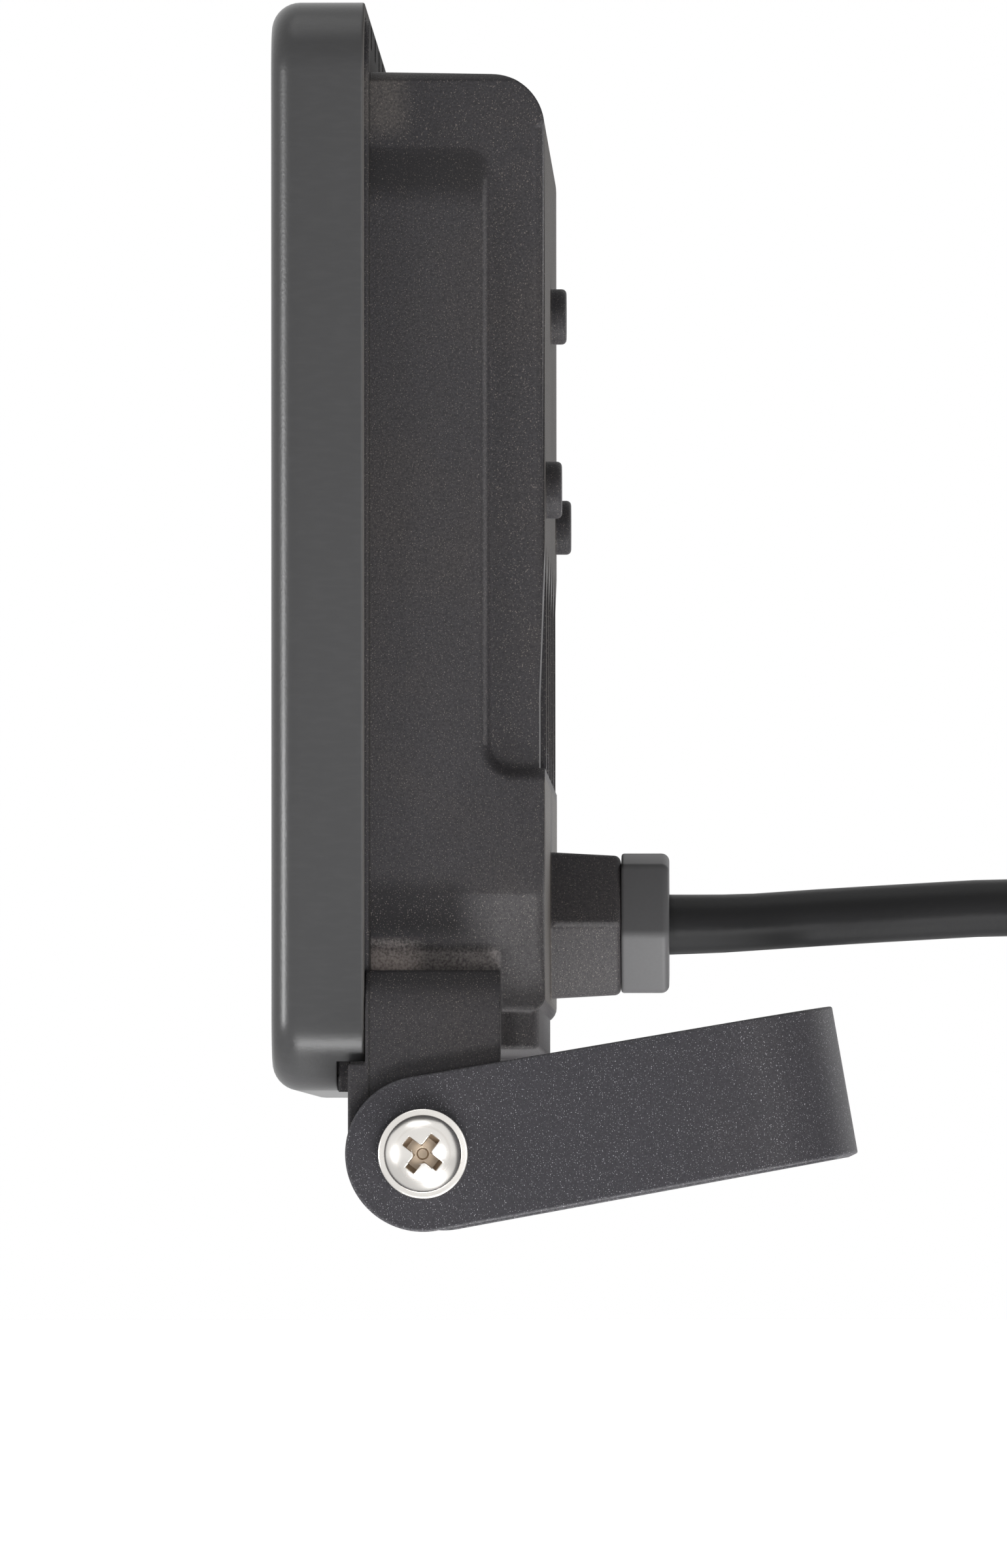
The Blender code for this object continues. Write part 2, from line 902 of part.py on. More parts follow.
def make_ear(name, sign):
    """A cast ear: a plate with a round end, rooted in the housing's lower corner."""
    side = rounded_outline(
        [
            (-ear_front, -ear_round, ear_round - weld / 2),
            (ear_back, -ear_round, ear_round - weld / 2),
            (ear_back, ear_height, 0),
            (flange_back - weld, ear_height, 0),
            (flange_back - weld, ear_step_height, 0),
            (-ear_front, ear_step_height, 0),
        ]
    )
    inner = ear_face_half - ear_thickness
    root = ear_face_half - ear_root_width
    neck_low = box_low - neck_drop
    front = [
        (inner, -ear_round - overrun),
        (ear_face_half, -ear_round - overrun),
        (ear_face_half, ear_height - ear_top_ramp),
        (ear_face_half - ear_top_chamfer, ear_height),
        (root, ear_height),
        (root, neck_low),
        (inner, neck_low),
    ]
    outline = [Vector((sign * across, up)) for across, up in front]
    if sign < 0:
        outline.reverse()
    ear = prism(name, "Y", outline, -ear_front - overrun, ear_back + overrun, "housing_coat", head)
    limit = box_half + overrun
    low, high = sorted((0, sign * limit + sign * overrun))
    boolean(ear, prism(name + "_side", "X", side, low, high, "housing_coat", head), "INTERSECT")
    return ear


def make_housing():
    """The cast housing: flange, box, side panels, neck, ears, gland boss and studs, then its hollows."""
    rim = frame_outline(flange_inset)
    housing = prism("housing", "Y", rim, flange_front, flange_back, "housing_coat", head)

    outline = box_outline()
    front = flange_back - flange_plate
    box = prism("housing_box", "Y", outline, front, box_back + overrun, "housing_coat", head)
    reach = box_half + overrun
    side = prism("housing_side", "X", box_side(front), -reach, reach, "housing_coat", head)
    boolean(box, side, "INTERSECT")
    join(housing, box, make_side_panel("panel_right", 1), make_side_panel("panel_left", -1))
    cut(housing, make_back_edge("back_edge_right", 1), make_back_edge("back_edge_left", -1))

    neck_corner = [
        (-neck_half, flange_back - weld, box_low - neck_drop),
        (neck_half, flange_back + neck_depth, box_low + housing_wall / 2),
    ]
    join(housing, boxes("housing_neck", [neck_corner], "housing_coat", head))
    join(housing, make_ear("ear_right", 1), make_ear("ear_left", -1))

    stud_profile = [
        (stud_radius, -weld),
        (stud_radius, stud_height - stud_round),
        (stud_radius - stud_round / 3, stud_height - stud_round / 3),
        (stud_radius - stud_round, stud_height),
    ]
    stud_places = [
        (0, stud_top_height),
        (stud_half, stud_low_height),
        (-stud_half, stud_low_height),
    ]
    for across, up in stud_places:
        place = (across, box_back, up)
        turn = facing((0, 1, 0))
        join(housing, turned("stud", stud_profile, round_sides, "housing_coat", head, place, turn))

    end_flat = gland_boss_flat - 2 * gland_boss_taper
    levels = [
        (hex_outline(gland_boss_flat, gland_boss_round), box_back - weld),
        (hex_outline(end_flat, gland_boss_round), boss_end - gland_boss_round),
        (hex_outline(end_flat - gland_boss_round, gland_boss_round / 2), boss_end),
    ]
    levels = [(shifted(ring, 0, gland_height), level) for ring, level in levels]
    boss = lofted("gland_boss", "Y", levels, "housing_coat", head)
    neck_ring = shifted(polygon(gland_neck_radius, round_sides), 0, gland_height)
    neck_start = boss_end - gland_boss_length / 2
    join(boss, prism("gland_neck", "Y", neck_ring, neck_start, neck_end, "housing_coat", head))
    join(housing, boss)

    hollow = inset_outline(outline, housing_wall)
    hollow_front = flange_front + flange_plate
    cut(housing, prism("housing_hollow", "Y", hollow, hollow_front, floor_face, "housing_coat", head))
    window = frame_outline(window_inset - flange_window_margin - fit_gap, fit_gap)
    low, high = flange_front - overrun, hollow_front + weld
    cut(housing, prism("housing_window", "Y", window, low, high, "housing_coat", head))
    join(housing, *make_bosses())

    bore = shifted(polygon(gland_bore_radius, round_sides), 0, gland_height)
    low, high = floor_face - overrun, neck_end + overrun
    cut(housing, prism("gland_bore", "Y", bore, low, high, "housing_coat", head))
    cut(housing, make_clip_notches(), make_back_valleys())
    axle = polygon(tilt_thread_radius + screw_clearance, small_sides)
    reach = ear_face_half + overrun
    cut(housing, prism("ear_holes", "X", axle, -reach, reach, "housing_coat", head))
    hole = small_thread_radius + screw_clearance
    for (across, up), top in boss_tops():
        place = (across, top - overrun, up)
        depth = min(boss_hole_depth, floor_face - top)
        profile = [(hole, 0), (hole, depth + overrun)]
        turn = facing((0, 1, 0))
        cut(housing, turned("boss_hole", profile, small_sides, "housing_coat", head, place, turn))
    return housing


def plate_screw_places():
    half = frame_width / 2 - plate_inset - plate_screw_inset
    rise = frame_height / 2 - plate_inset - plate_screw_inset
    return [(across * half, frame_middle + up * rise) for across in (-1, 1) for up in (-1, 1)]


def driver_screw_places():
    half = driver_width / 2 - driver_screw_inset
    rise = driver_height / 2 - driver_screw_inset
    return [(across * half, driver_middle + up * rise) for across in (-1, 1) for up in (-1, 1)]


def boss_tops():
    """Each screw boss in the housing as its place and the level of its seat."""
    tops = [(place, plate_back + fit_gap) for place in plate_screw_places()]
    tops += [(place, floor_face - driver_lift) for place in driver_screw_places()]
    tops.append(((earth_place, gland_height), floor_face - earth_boss_height))
    return tops


def make_bosses():
    made = []
    for (across, up), top in boss_tops():
        profile = [(boss_radius, 0), (boss_radius, floor_face + weld - top)]
        place = (across, top, up)
        made.append(turned("boss", profile, small_sides, "housing_coat", head, place, facing((0, 1, 0))))
    return made


def make_clip_notches():
    half = clip_width / 2 + fit_gap
    corners = []
    for place in clip_places():
        for edge, inwards in ((frame_low, 1), (frame_high, -1)):
            near = edge + inwards * (flange_inset - weld)
            far = edge + inwards * (clip_inset + clip_thickness + fit_gap)
            low, high = sorted((near, far))
            corners.append(
                (
                    (place - half, flange_front - overrun, low),
                    (place + half, flange_back + overrun, high),
                )
            )
    return boxes("clip_notches", corners, "housing_coat", head)


def make_back_valleys():
    """Shallow valleys between the back's ribs, which fade out upwards."""
    low = box_low + slope_rise + panel_shoulder_rise
    ramp = valley_fade * (valley_depth + overrun) / valley_depth
    profile = [
        Vector((box_back - valley_depth, low)),
        Vector((box_back + overrun, low)),
        Vector((box_back + overrun, low + valley_height + ramp)),
        Vector((box_back - valley_depth, low + valley_height)),
    ]
    shape = bmesh.new()
    edges = [(i - (rib_count - 1) / 2) * rib_pitch for i in range(rib_count)]
    starts = [-box_half - overrun] + [edge + rib_width / 2 for edge in edges]
    ends = [edge - rib_width / 2 for edge in edges] + [box_half + overrun]
    for start, end in zip(starts, ends):
        loft(shape, "X", [(profile, start), (profile, end)])
    return add_mesh("back_valleys", shape, "housing_coat", head)


def make_plate_and_board():
    """The plate that carries the LED board, both pierced for the two feed leads."""
    plate = prism("mounting_plate", "Y", frame_outline(plate_inset, fit_gap), plate_front, plate_back,
                  "plain_aluminium", head)
    board = prism("led_board", "Y", frame_outline(board_inset, fit_gap), board_front, board_back,
                  "white_mask", head)
    hole = small_thread_radius + screw_clearance
    holes = [(hole, place) for place in plate_screw_places() + board_screw_places()]
    holes.append((feed_hole_radius, (0, feed_up)))
    for radius, place in holes:
        ring = shifted(polygon(radius, small_sides), *place)
        drill = prism("plate_hole", "Y", ring, board_front - overrun, plate_back + overrun,
                      "plain_aluminium", head)
        cut(plate, drill)
        if place not in plate_screw_places():
            cut(board, drill)
    for i, (across, up) in enumerate(plate_screw_places()):
        place = (across, plate_front - fit_gap, up)
        length = plate_thickness + 2 * fit_gap + small_screw_bite
        pan_screw(f"plate_screw_{i + 1}", small_sizes, length, head, place, (0, -1, 0))
    for i, (across, up) in enumerate(board_screw_places()):
        place = (across, board_front - fit_gap, up)
        length = board_thickness + plate_thickness + 2 * fit_gap
        pan_screw(f"board_screw_{i + 1}", small_sizes, length, head, place, (0, -1, 0))


def board_screw_places():
    return [(-led_pitch, frame_middle + led_pitch / 2), (led_pitch, frame_middle - led_pitch / 2)]


def make_leds():
    """Packaged LEDs: a square base that turns into a low round dome."""
    base = rounded_outline(
        [
            (led_side / 2, -led_side / 2, led_corner),
            (led_side / 2, led_side / 2, led_corner),
            (-led_side / 2, led_side / 2, led_corner),
            (-led_side / 2, -led_side / 2, led_corner),
        ],
        led_quarter_steps,
    )
    ring = [point.normalized() for point in base]
    dome = [
        (math.cos(math.pi / 6 * i) * led_dome_radius, math.sin(math.pi / 6 * i) * led_dome_height)
        for i in range(3)
    ]
    levels = [(base, 0), (base, led_base_height)]
    levels += [([point * radius for point in ring], led_base_height + rise) for radius, rise in dome]
    shape = bmesh.new()
    loft(shape, "Z", levels)
    bmesh.ops.recalc_face_normals(shape, faces=shape.faces)
    mesh = bpy.data.meshes.new("led")
    shape.to_mesh(mesh)
    shape.free()
    for row in range(led_rows):
        for column in range(led_columns):
            place = (
                (column - (led_columns - 1) / 2) * led_pitch,
                board_front - fit_gap,
                frame_middle + (row - (led_rows - 1) / 2) * led_pitch,
            )
            name = f"led_{row * led_columns + column + 1}"
            add_copy(name, mesh, "phosphor", head, place, facing((0, -1, 0)))


def make_driver():
    """The driver board on its bosses, with its parts standing towards the glass."""
    middle = driver_middle
    back = floor_face - driver_lift - fit_gap
    front = back - board_thickness
    seat = front - fit_gap
    board = boxes(
        "driver_board",
        [
            (
                (-driver_width / 2, front, driver_low),
                (driver_width / 2, back, driver_high),
            )
        ],
        "green_mask",
        head,
    )
    hole = small_thread_radius + screw_clearance
    for place in driver_screw_places():
        ring = shifted(polygon(hole, small_sides), *place)
        cut(board, prism("driver_hole", "Y", ring, front - overrun, back + overrun, "green_mask", head))
    for i, (across, up) in enumerate(driver_screw_places()[1:3]):
        length = board_thickness + 2 * fit_gap + driver_lift - fit_gap
        place = (across, front - fit_gap, up)
        pan_screw(f"driver_screw_{i + 1}", small_sizes, length, head, place, (0, -1, 0))

    outwards = facing((0, -1, 0))
    for name, radius, height, column, row in (
        ("input_capacitor", input_capacitor_radius, input_capacitor_height, -1, 0),
        ("output_capacitor", output_capacitor_radius, output_capacitor_height, 1, 1),
    ):
        groove = radius / 10
        profile = [
            (radius, 0),
            (radius, height / 8),
            (radius - groove, height / 6),
            (radius, height / 5),
            (radius, height - groove),
            (radius - groove, height),
        ]
        place = (column * part_column, seat, middle + row * part_row_height)
        turned(name, profile, small_sides, "capacitor_sleeve", head, place, outwards)

    def block(name, finish, width, depth, height, column, row, chamfer_share=0.1):
        across, up = column * part_column, middle + row * part_row_height
        outline = rounded_outline(
            [
                (across + width / 2, up - height / 2, 0),
                (across + width / 2, up + height / 2, 0),
                (across - width / 2, up + height / 2, 0),
                (across - width / 2, up - height / 2, 0),
            ]
        )
        top = inset_outline(outline, depth * chamfer_share)
        levels = [(outline, seat), (outline, seat - depth * (1 - chamfer_share)), (top, seat - depth)]
        return lofted(name, "Y", levels, finish, head)

    transformer = block(
        "transformer", "black_moulding", transformer_width, transformer_depth, transformer_height, 0, 0
    )
    core = block(
        "transformer_core",
        "winding_tape",
        transformer_width + transformer_window,
        transformer_depth - transformer_window / 2,
        transformer_height - transformer_window,
        0,
        0,
    )
    join(transformer, core)
    block("bridge_rectifier", "black_moulding", bridge_width, bridge_depth, bridge_height, -1, 1)
    block("driver_chip", "black_moulding", chip_width, chip_depth, chip_height, 1, 0)
    choke_profile = [
        (choke_bore, choke_height / 6),
        (choke_bore, choke_height * 5 / 6),
        (choke_bore + choke_height / 6, choke_height),
        (choke_radius - choke_height / 6, choke_height),
        (choke_radius, choke_height * 5 / 6),
        (choke_radius, choke_height / 6),
        (choke_radius - choke_height / 6, 0),
        (choke_bore + choke_height / 6, 0),
    ]
    place = (part_column, seat, middle - part_row_height)
    turned("choke", choke_profile, small_sides, "winding_tape", head, place, outwards, looped=True)
    cap = fuse_length / 5
    fuse_profile = [
        (fuse_radius, 0),
        (fuse_radius, cap),
        (fuse_radius - fit_gap, cap),
        (fuse_radius - fit_gap, fuse_length - cap),
        (fuse_radius, fuse_length - cap),
        (fuse_radius, fuse_length),
    ]
    place = (-part_column - fuse_length / 2, seat - fuse_radius, middle - part_row_height)
    turned("fuse", fuse_profile, small_sides, "tinned", head, place, facing((1, 0, 0)))


def terminal_axis():
    return floor_face - fit_gap - terminal_depth / 2


def make_terminal_block():
    low = terminal_low
    back = floor_face - fit_gap
    body = boxes(
        "terminal_block",
        [
            (
                (-terminal_width / 2, back - terminal_depth, low),
                (terminal_width / 2, back, low + terminal_height),
            )
        ],
        "terminal_nylon",
        head,
    )
    for pole in (-1, 1):
        across = pole * terminal_pitch / 2
        ring = shifted(polygon(terminal_wire_radius, small_sides), across, terminal_axis())
        for start in (low - overrun, low + terminal_height - terminal_wire_depth):
            end = start + terminal_wire_depth + overrun
            cut(body, prism("wire_hole", "Z", ring, start, end, "terminal_nylon", head))
        well = shifted(polygon(terminal_screw_radius, small_sides), across, low + terminal_height / 2)
        front = back - terminal_depth
        depth = min(terminal_screw_depth, terminal_depth / 2 - terminal_wire_radius - fit_gap)
        cut(body, prism("screw_well", "Y", well, front - overrun, front + depth, "terminal_nylon", head))


def make_gland():
    """The gland's nut over the housing's neck, the seal inside, and the lead's sheath through both."""
    tip_flat = nut_across_flats - nut_chamfer
    levels = [
        (hex_outline(nut_across_flats, nut_edge_round, -nut_turn), nut_start),
        (hex_outline(nut_across_flats, nut_edge_round, -nut_turn), nut_end - nut_chamfer),
        (hex_outline(tip_flat, nut_edge_round, -nut_turn), nut_end),
    ]
    levels = [(shifted(ring, 0, gland_height), level) for ring, level in levels]
    nut = lofted("gland_nut", "Y", levels, "nut_plastic", head)
    cavity = shifted(polygon(gland_neck_radius + fit_gap, round_sides), 0, gland_height)
    mouth = shifted(polygon(nut_mouth_radius, round_sides), 0, gland_height)
    inner_end = nut_end - nut_mouth_length
    cut(nut, prism("nut_thread", "Y", cavity, nut_start - overrun, inner_end, "nut_plastic", head))
    cut(nut, prism("nut_mouth", "Y", mouth, inner_end - weld, nut_end + overrun, "nut_plastic", head))

    outer = gland_bore_radius - fit_gap
    inner = outer - seal_wall - fit_gap
    start = neck_end - seal_length
    turned(
        "gland_seal",
        [(inner, 0), (inner, seal_length), (outer, seal_length), (outer, 0)],
        round_sides,
        "seal_rubber",
        head,
        (0, start, gland_height),
        facing((0, 1, 0)),
        looped=True,
    )
    sheath_start = floor_face - sheath_inside
    sheath = [
        (0, sheath_start, gland_height),
        (0, (sheath_start + nut_end) / 2, gland_height),
        (0, nut_end - fit_gap, gland_height),
    ]
    tube("lead_in_gland", sheath, lead_diameter / 2, "lead_rubber", head, 4)
    return sheath_start


def make_earth_point():
    """A ring terminal and its screw on the earth boss. The barrel points at the gland."""
    seat = floor_face - earth_boss_height - fit_gap
    front = seat - earth_ring_thickness
    hole = small_thread_radius + screw_clearance
    disc = shifted(polygon(earth_ring_radius, small_sides), earth_place, gland_height)
    ring = prism("earth_ring", "Y", disc, front, seat, "tinned", head)
    mouth, barrel_end = earth_barrel()
    half = earth_barrel_radius - fit_gap / 2
    tongue = [
        (barrel_end - weld, front, gland_height - half),
        (earth_place - earth_ring_radius / 2, seat, gland_height + half),
    ]
    core_hole = core_diameter / 2 + fit_gap
    barrel = turned(
        "earth_barrel",
        [
            (core_hole, mouth),
            (core_hole, barrel_end),
            (earth_barrel_radius, barrel_end),
            (earth_barrel_radius, mouth),
        ],
        small_sides,
        "tinned",
        head,
        (0, (front + seat) / 2, gland_height),
        facing((1, 0, 0)),
        looped=True,
    )
    join(ring, boxes("earth_tongue", [tongue], "tinned", head))
    drill = shifted(polygon(hole, small_sides), earth_place, gland_height)
    cut(ring, prism("earth_hole", "Y", drill, front - overrun, seat + overrun, "tinned", head))
    join(ring, barrel)
    length = earth_boss_height + earth_ring_thickness + fit_gap
    place = (earth_place, front - fit_gap, gland_height)
    pan_screw("earth_screw", small_sizes, length, head, place, (0, -1, 0))


def earth_barrel():
    """Both ends of the ring terminal's barrel, along X."""
    end = earth_place - earth_ring_radius - 2 * fit_gap
    return end - earth_barrel_length, end


def make_inner_cores(sheath_start):
    """Live and neutral to the terminal block and on to the driver, and the earth core to its ring."""
    start = sheath_start - fit_gap
    low = terminal_low
    high = terminal_high
    axis = terminal_axis()
    driver_front = floor_face - driver_lift - fit_gap - board_thickness
    for sign, word, finish in ((-1, "live", "core_brown"), (1, "neutral", "core_blue")):
        place = sign * terminal_pitch / 2
        across = sign * core_spread
        up = gland_height + core_spread / 2
        route = [
            (across, start, up),
            (across, start - core_diameter / 2, up),
            (across + (place - across) / 3, start - core_diameter * 1.2, up + core_diameter / 2),
            (place, (start + axis) / 2 - core_diameter, (up + low) / 2),
            (place, axis, low - core_diameter / 2),
            (place, axis, low + terminal_wire_depth / 2),
        ]
        tube("inner_" + word, smooth_route(route, core_diameter), core_diameter / 2, finish, head)
        route = [
            (place, axis, high - terminal_wire_depth / 2),
            (place, axis, high + core_diameter / 2),
            (place, driver_front - link_bend, driver_low - core_diameter / 2),
            (place, driver_front - link_bend, high + link_reach - core_diameter),
            (place, driver_front - core_diameter, high + link_reach),
            (place, driver_front - fit_gap, high + link_reach),
        ]
        tube("link_" + word, smooth_route(route, core_diameter), core_diameter / 2, finish, head)

    mouth, barrel_end = earth_barrel()
    ring_level = floor_face - earth_boss_height - fit_gap - earth_ring_thickness / 2
    up = gland_height - core_spread
    route = [
        (0, start, up),
        (0, start - core_diameter / 2, up),
        (core_diameter, start - core_diameter * 1.5, up),
        (mouth - core_diameter * 2, ring_level - core_diameter / 2, gland_height - core_spread / 2),
        (mouth - core_diameter / 2, ring_level, gland_height),
        ((mouth + barrel_end) / 2, ring_level, gland_height),
    ]
    tube("inner_earth", smooth_route(route, core_diameter), core_diameter / 2, "core_green", head)


def make_feed_leads():
    """Two leads from the driver through the plate and the LED board to pads on the board's front."""
    top = feed_up
    low = top - led_pad_reach
    start = floor_face - driver_lift - board_thickness - 2 * fit_gap
    first = driver_high - feed_start_margin
    for name, sign, finish in (("feed_lead_plus", 1, "core_red"), ("feed_lead_minus", -1, "core_black")):
        across = sign * led_lead_spacing / 2
        route = [
            (across, start, first),
            (across, start - feed_bend, first),
            (across, (start + plate_back) / 2, (first + top) / 2),
            (across, plate_back + feed_bend / 2, top),
            (across, board_front, top),
            (across, board_front - feed_bend, top - led_pad_reach / 3),
            (across, board_front - feed_bend, low + led_pad_reach / 3),
            (across, board_front - 2 * led_lead_radius, low),
            (across, board_front - fit_gap, low),
        ]
        tube(name, smooth_route(route, 2 * led_lead_radius), led_lead_radius, finish, head)


def make_outer_lead():
    """The free stretch of the lead, and the three cores with ferrules at its bare end."""
    points = smooth_route(lead_route, lead_point_step)
    factors = [1.0] * len(points)
    factors[0] = lead_mouth_flare_share
    tube("supply_lead", points, lead_diameter / 2, "lead_rubber", head, 4, factors)
    end = points[-1]
    down = (points[-1] - points[-2]).normalized()
    cores = (("live", "core_brown"), ("neutral", "core_blue"), ("earth", "core_green"))
    for i, (word, finish) in enumerate(cores):
        angle = 2 * math.pi * i / 3
        out = Vector((math.cos(angle), math.sin(angle), 0))
        start = end + down * fit_gap + out * core_spread / 1.5
        route = [
            start,
            start + down * core_lay_length / 3 + out * core_spread / 2,
            start + down * core_lay_length * 2 / 3 + out * core_spread * 1.5,
            start + down * core_lay_length + out * core_spread * 2,
        ]
        core_name = "lead_core_" + word
        tube(core_name, smooth_route(route, 2 * core_diameter), core_diameter / 2, finish, head)
        last = route[-1] + down * fit_gap
        along = (route[-1] - route[-2]).normalized()
        turned(
            "ferrule_" + word,
            [
                (ferrule_radius, fit_gap),
                (ferrule_radius, ferrule_length / 4),
                (ferrule_bore_radius, ferrule_length / 3),
                (ferrule_bore_radius, ferrule_length),
            ],
            small_sides,
            "tinned",
            head,
            last,
            facing(along),
        )


make_bracket()
make_tilt_screws()
make_front_frame()
make_glass_and_gasket()
make_reflector()
make_housing()
make_plate_and_board()
make_leds()
make_driver()
make_terminal_block()
sheath_end = make_gland()
make_earth_point()
make_inner_cores(sheath_end)
make_feed_leads()
make_outer_lead()
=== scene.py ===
import json
import math

import bmesh
import bpy
from mathutils import Matrix, Vector


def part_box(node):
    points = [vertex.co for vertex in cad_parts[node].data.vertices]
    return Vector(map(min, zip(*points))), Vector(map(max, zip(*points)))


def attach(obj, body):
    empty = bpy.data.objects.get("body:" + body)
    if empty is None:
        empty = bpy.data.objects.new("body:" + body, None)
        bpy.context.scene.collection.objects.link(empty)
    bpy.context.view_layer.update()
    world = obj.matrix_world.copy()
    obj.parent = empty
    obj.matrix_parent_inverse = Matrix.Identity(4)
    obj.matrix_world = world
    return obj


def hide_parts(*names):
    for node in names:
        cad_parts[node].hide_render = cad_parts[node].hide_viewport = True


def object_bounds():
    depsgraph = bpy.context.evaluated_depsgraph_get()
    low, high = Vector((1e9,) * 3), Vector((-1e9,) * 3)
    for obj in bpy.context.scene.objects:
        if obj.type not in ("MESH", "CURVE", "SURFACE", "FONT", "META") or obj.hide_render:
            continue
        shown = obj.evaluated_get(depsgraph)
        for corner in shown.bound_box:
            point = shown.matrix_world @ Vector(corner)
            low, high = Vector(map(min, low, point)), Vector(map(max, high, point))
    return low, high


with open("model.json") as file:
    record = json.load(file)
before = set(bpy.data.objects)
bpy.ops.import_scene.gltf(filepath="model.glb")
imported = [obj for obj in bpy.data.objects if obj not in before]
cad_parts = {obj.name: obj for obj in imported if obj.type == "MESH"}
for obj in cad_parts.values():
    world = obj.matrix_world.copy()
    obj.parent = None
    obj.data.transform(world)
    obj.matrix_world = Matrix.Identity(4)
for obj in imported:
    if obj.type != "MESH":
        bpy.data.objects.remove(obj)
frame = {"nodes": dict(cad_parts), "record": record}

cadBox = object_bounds()
mm = 0.001
print("frame loaded")


# The head is modelled round its own tilt axis, in millimetres, and then put in its place.
tilt = {"reach": 52.2, "rise": 10.0}
tiltAngle = math.radians(tilt["rise"])
tiltAxis = Vector((0, -math.cos(tiltAngle), -math.sin(tiltAngle))) * tilt["reach"] * mm
headPlace = Matrix.Translation(tiltAxis)
bracketPlace = headPlace @ Matrix.Rotation(tiltAngle, 4, "X")


def clearSelection():
    if bpy.context.mode != "OBJECT":
        bpy.ops.object.mode_set(mode="OBJECT")
    bpy.ops.object.select_all(action="DESELECT")


def takeUp(piece):
    clearSelection()
    piece.select_set(True)
    bpy.context.view_layer.objects.active = piece


# Camera: a long lens, as far off as the photograph's perspective says
cameraValues = {
    "place": (2382.7, 38.3, -6.9),
    "yaw": -0.01238,
    "pitch": 0.02256,
    "roll": -0.0007,
    "sensor": 36,
    "focalPixels": 28907,
    "photoHeight": 2398,
}


def makeCamera(v):
    flat = math.cos(v["pitch"])
    forward = Vector((-flat * math.cos(v["yaw"]), flat * math.sin(v["yaw"]), math.sin(v["pitch"])))
    data = bpy.data.cameras.new("photoCamera")
    camera = bpy.data.objects.new("photoCamera", data)
    bpy.context.scene.collection.objects.link(camera)
    data.sensor_width = v["sensor"]
    data.lens = v["focalPixels"] / v["photoHeight"] * v["sensor"]
    data.clip_start = 0.1
    data.clip_end = 100
    turn = forward.to_track_quat("-Z", "Y").to_matrix().to_4x4() @ Matrix.Rotation(v["roll"], 4, "Z")
    camera.matrix_world = Matrix.Translation(headPlace @ (Vector(v["place"]) * mm)) @ turn
    bpy.context.scene.camera = camera


makeCamera(cameraValues)
print("camera placed")


# Shader writing: a small wrapper turns Python expressions into Math nodes.
class Wire:
    def __init__(self, tree, socket):
        self.tree = tree
        self.socket = socket

    def math(self, operation, *others, clamp=False):
        node = self.tree.nodes.new("ShaderNodeMath")
        node.operation = operation
        node.use_clamp = clamp
        for slot, value in zip(node.inputs, others):
            if isinstance(value, Wire):
                self.tree.links.new(value.socket, slot)
            else:
                slot.default_value = value
        return Wire(self.tree, node.outputs[0])

    def __add__(self, other):
        return self.math("ADD", self, other)

    def __sub__(self, other):
        return self.math("SUBTRACT", self, other)

    def __rsub__(self, other):
        return self.math("SUBTRACT", other, self)

    def __mul__(self, other):
        return self.math("MULTIPLY", self, other)

    def __truediv__(self, other):
        return self.math("DIVIDE", self, other)

    __radd__ = __add__
    __rmul__ = __mul__

    def above(self, low, high):
        return ((self - low) / (high - low)).clamped()

    def between(self, low, high, soft):
        return self.above(low - soft, low) * (1 - self.above(high, high + soft))

    def clamped(self):
        return self.math("ADD", self, 0, clamp=True)

    def power(self, exponent):
        return self.math("POWER", self, exponent)


class Finish:
    def __init__(self, name, colour):
        self.material = bpy.data.materials.new(name)
        self.material.use_nodes = True
        self.material.diffuse_color = (*colour, 1)
        self.tree = self.material.node_tree
        self.shader = self.tree.nodes["Principled BSDF"]
        self.place = self.node("ShaderNodeTexCoord").out("Object")

    def node(self, kind, settings=None, **sockets):
        made = self.tree.nodes.new(kind)
        for key, value in (settings or {}).items():
            setattr(made, key, value)
        holder = NodeHolder(self, made)
        holder.putAll(sockets)
        return holder

    def set(self, **sockets):
        NodeHolder(self, self.shader).putAll(sockets)

    def noise(self, scale, detail=2, roughness=0.5, stretch=None):
        place = self.place
        if stretch:
            place = self.node("ShaderNodeMapping", Vector=place, Scale=stretch).out("Vector")
        return self.node("ShaderNodeTexNoise", Vector=place, Scale=scale, Detail=detail,
                         Roughness=roughness).out("Fac")

    def mix(self, amount, first, second):
        holder = self.node("ShaderNodeMix", {"data_type": "RGBA"}, Factor=amount, A=first, B=second)
        return holder.out("Result")

    def bump(self, height, distance, normal=None):
        holder = self.node("ShaderNodeBump", Height=height, Distance=distance, Strength=1.0)
        if normal is not None:
            holder.put("Normal", normal)
        return holder.out("Normal")

    def headPlaces(self):
        # how far across, along and up in the head's own millimetres
        parts = self.node("ShaderNodeSeparateXYZ", Vector=self.place)
        return [parts.out(axis) * 1000 - offset * 1000 for axis, offset in zip("XYZ", tiltAxis)]

    def softEdge(self, radius):
        return self.node("ShaderNodeBevel", {"samples": 6}, Radius=radius).out("Normal")

    def clouded(self, colour):
        # a metal's colour with faint darker clouds, and the clouds themselves
        cloud = self.noise(160, detail=3)
        return self.mix(cloud.above(0.35, 0.7) * 0.25, colour, tuple(c * 0.82 for c in colour)), cloud


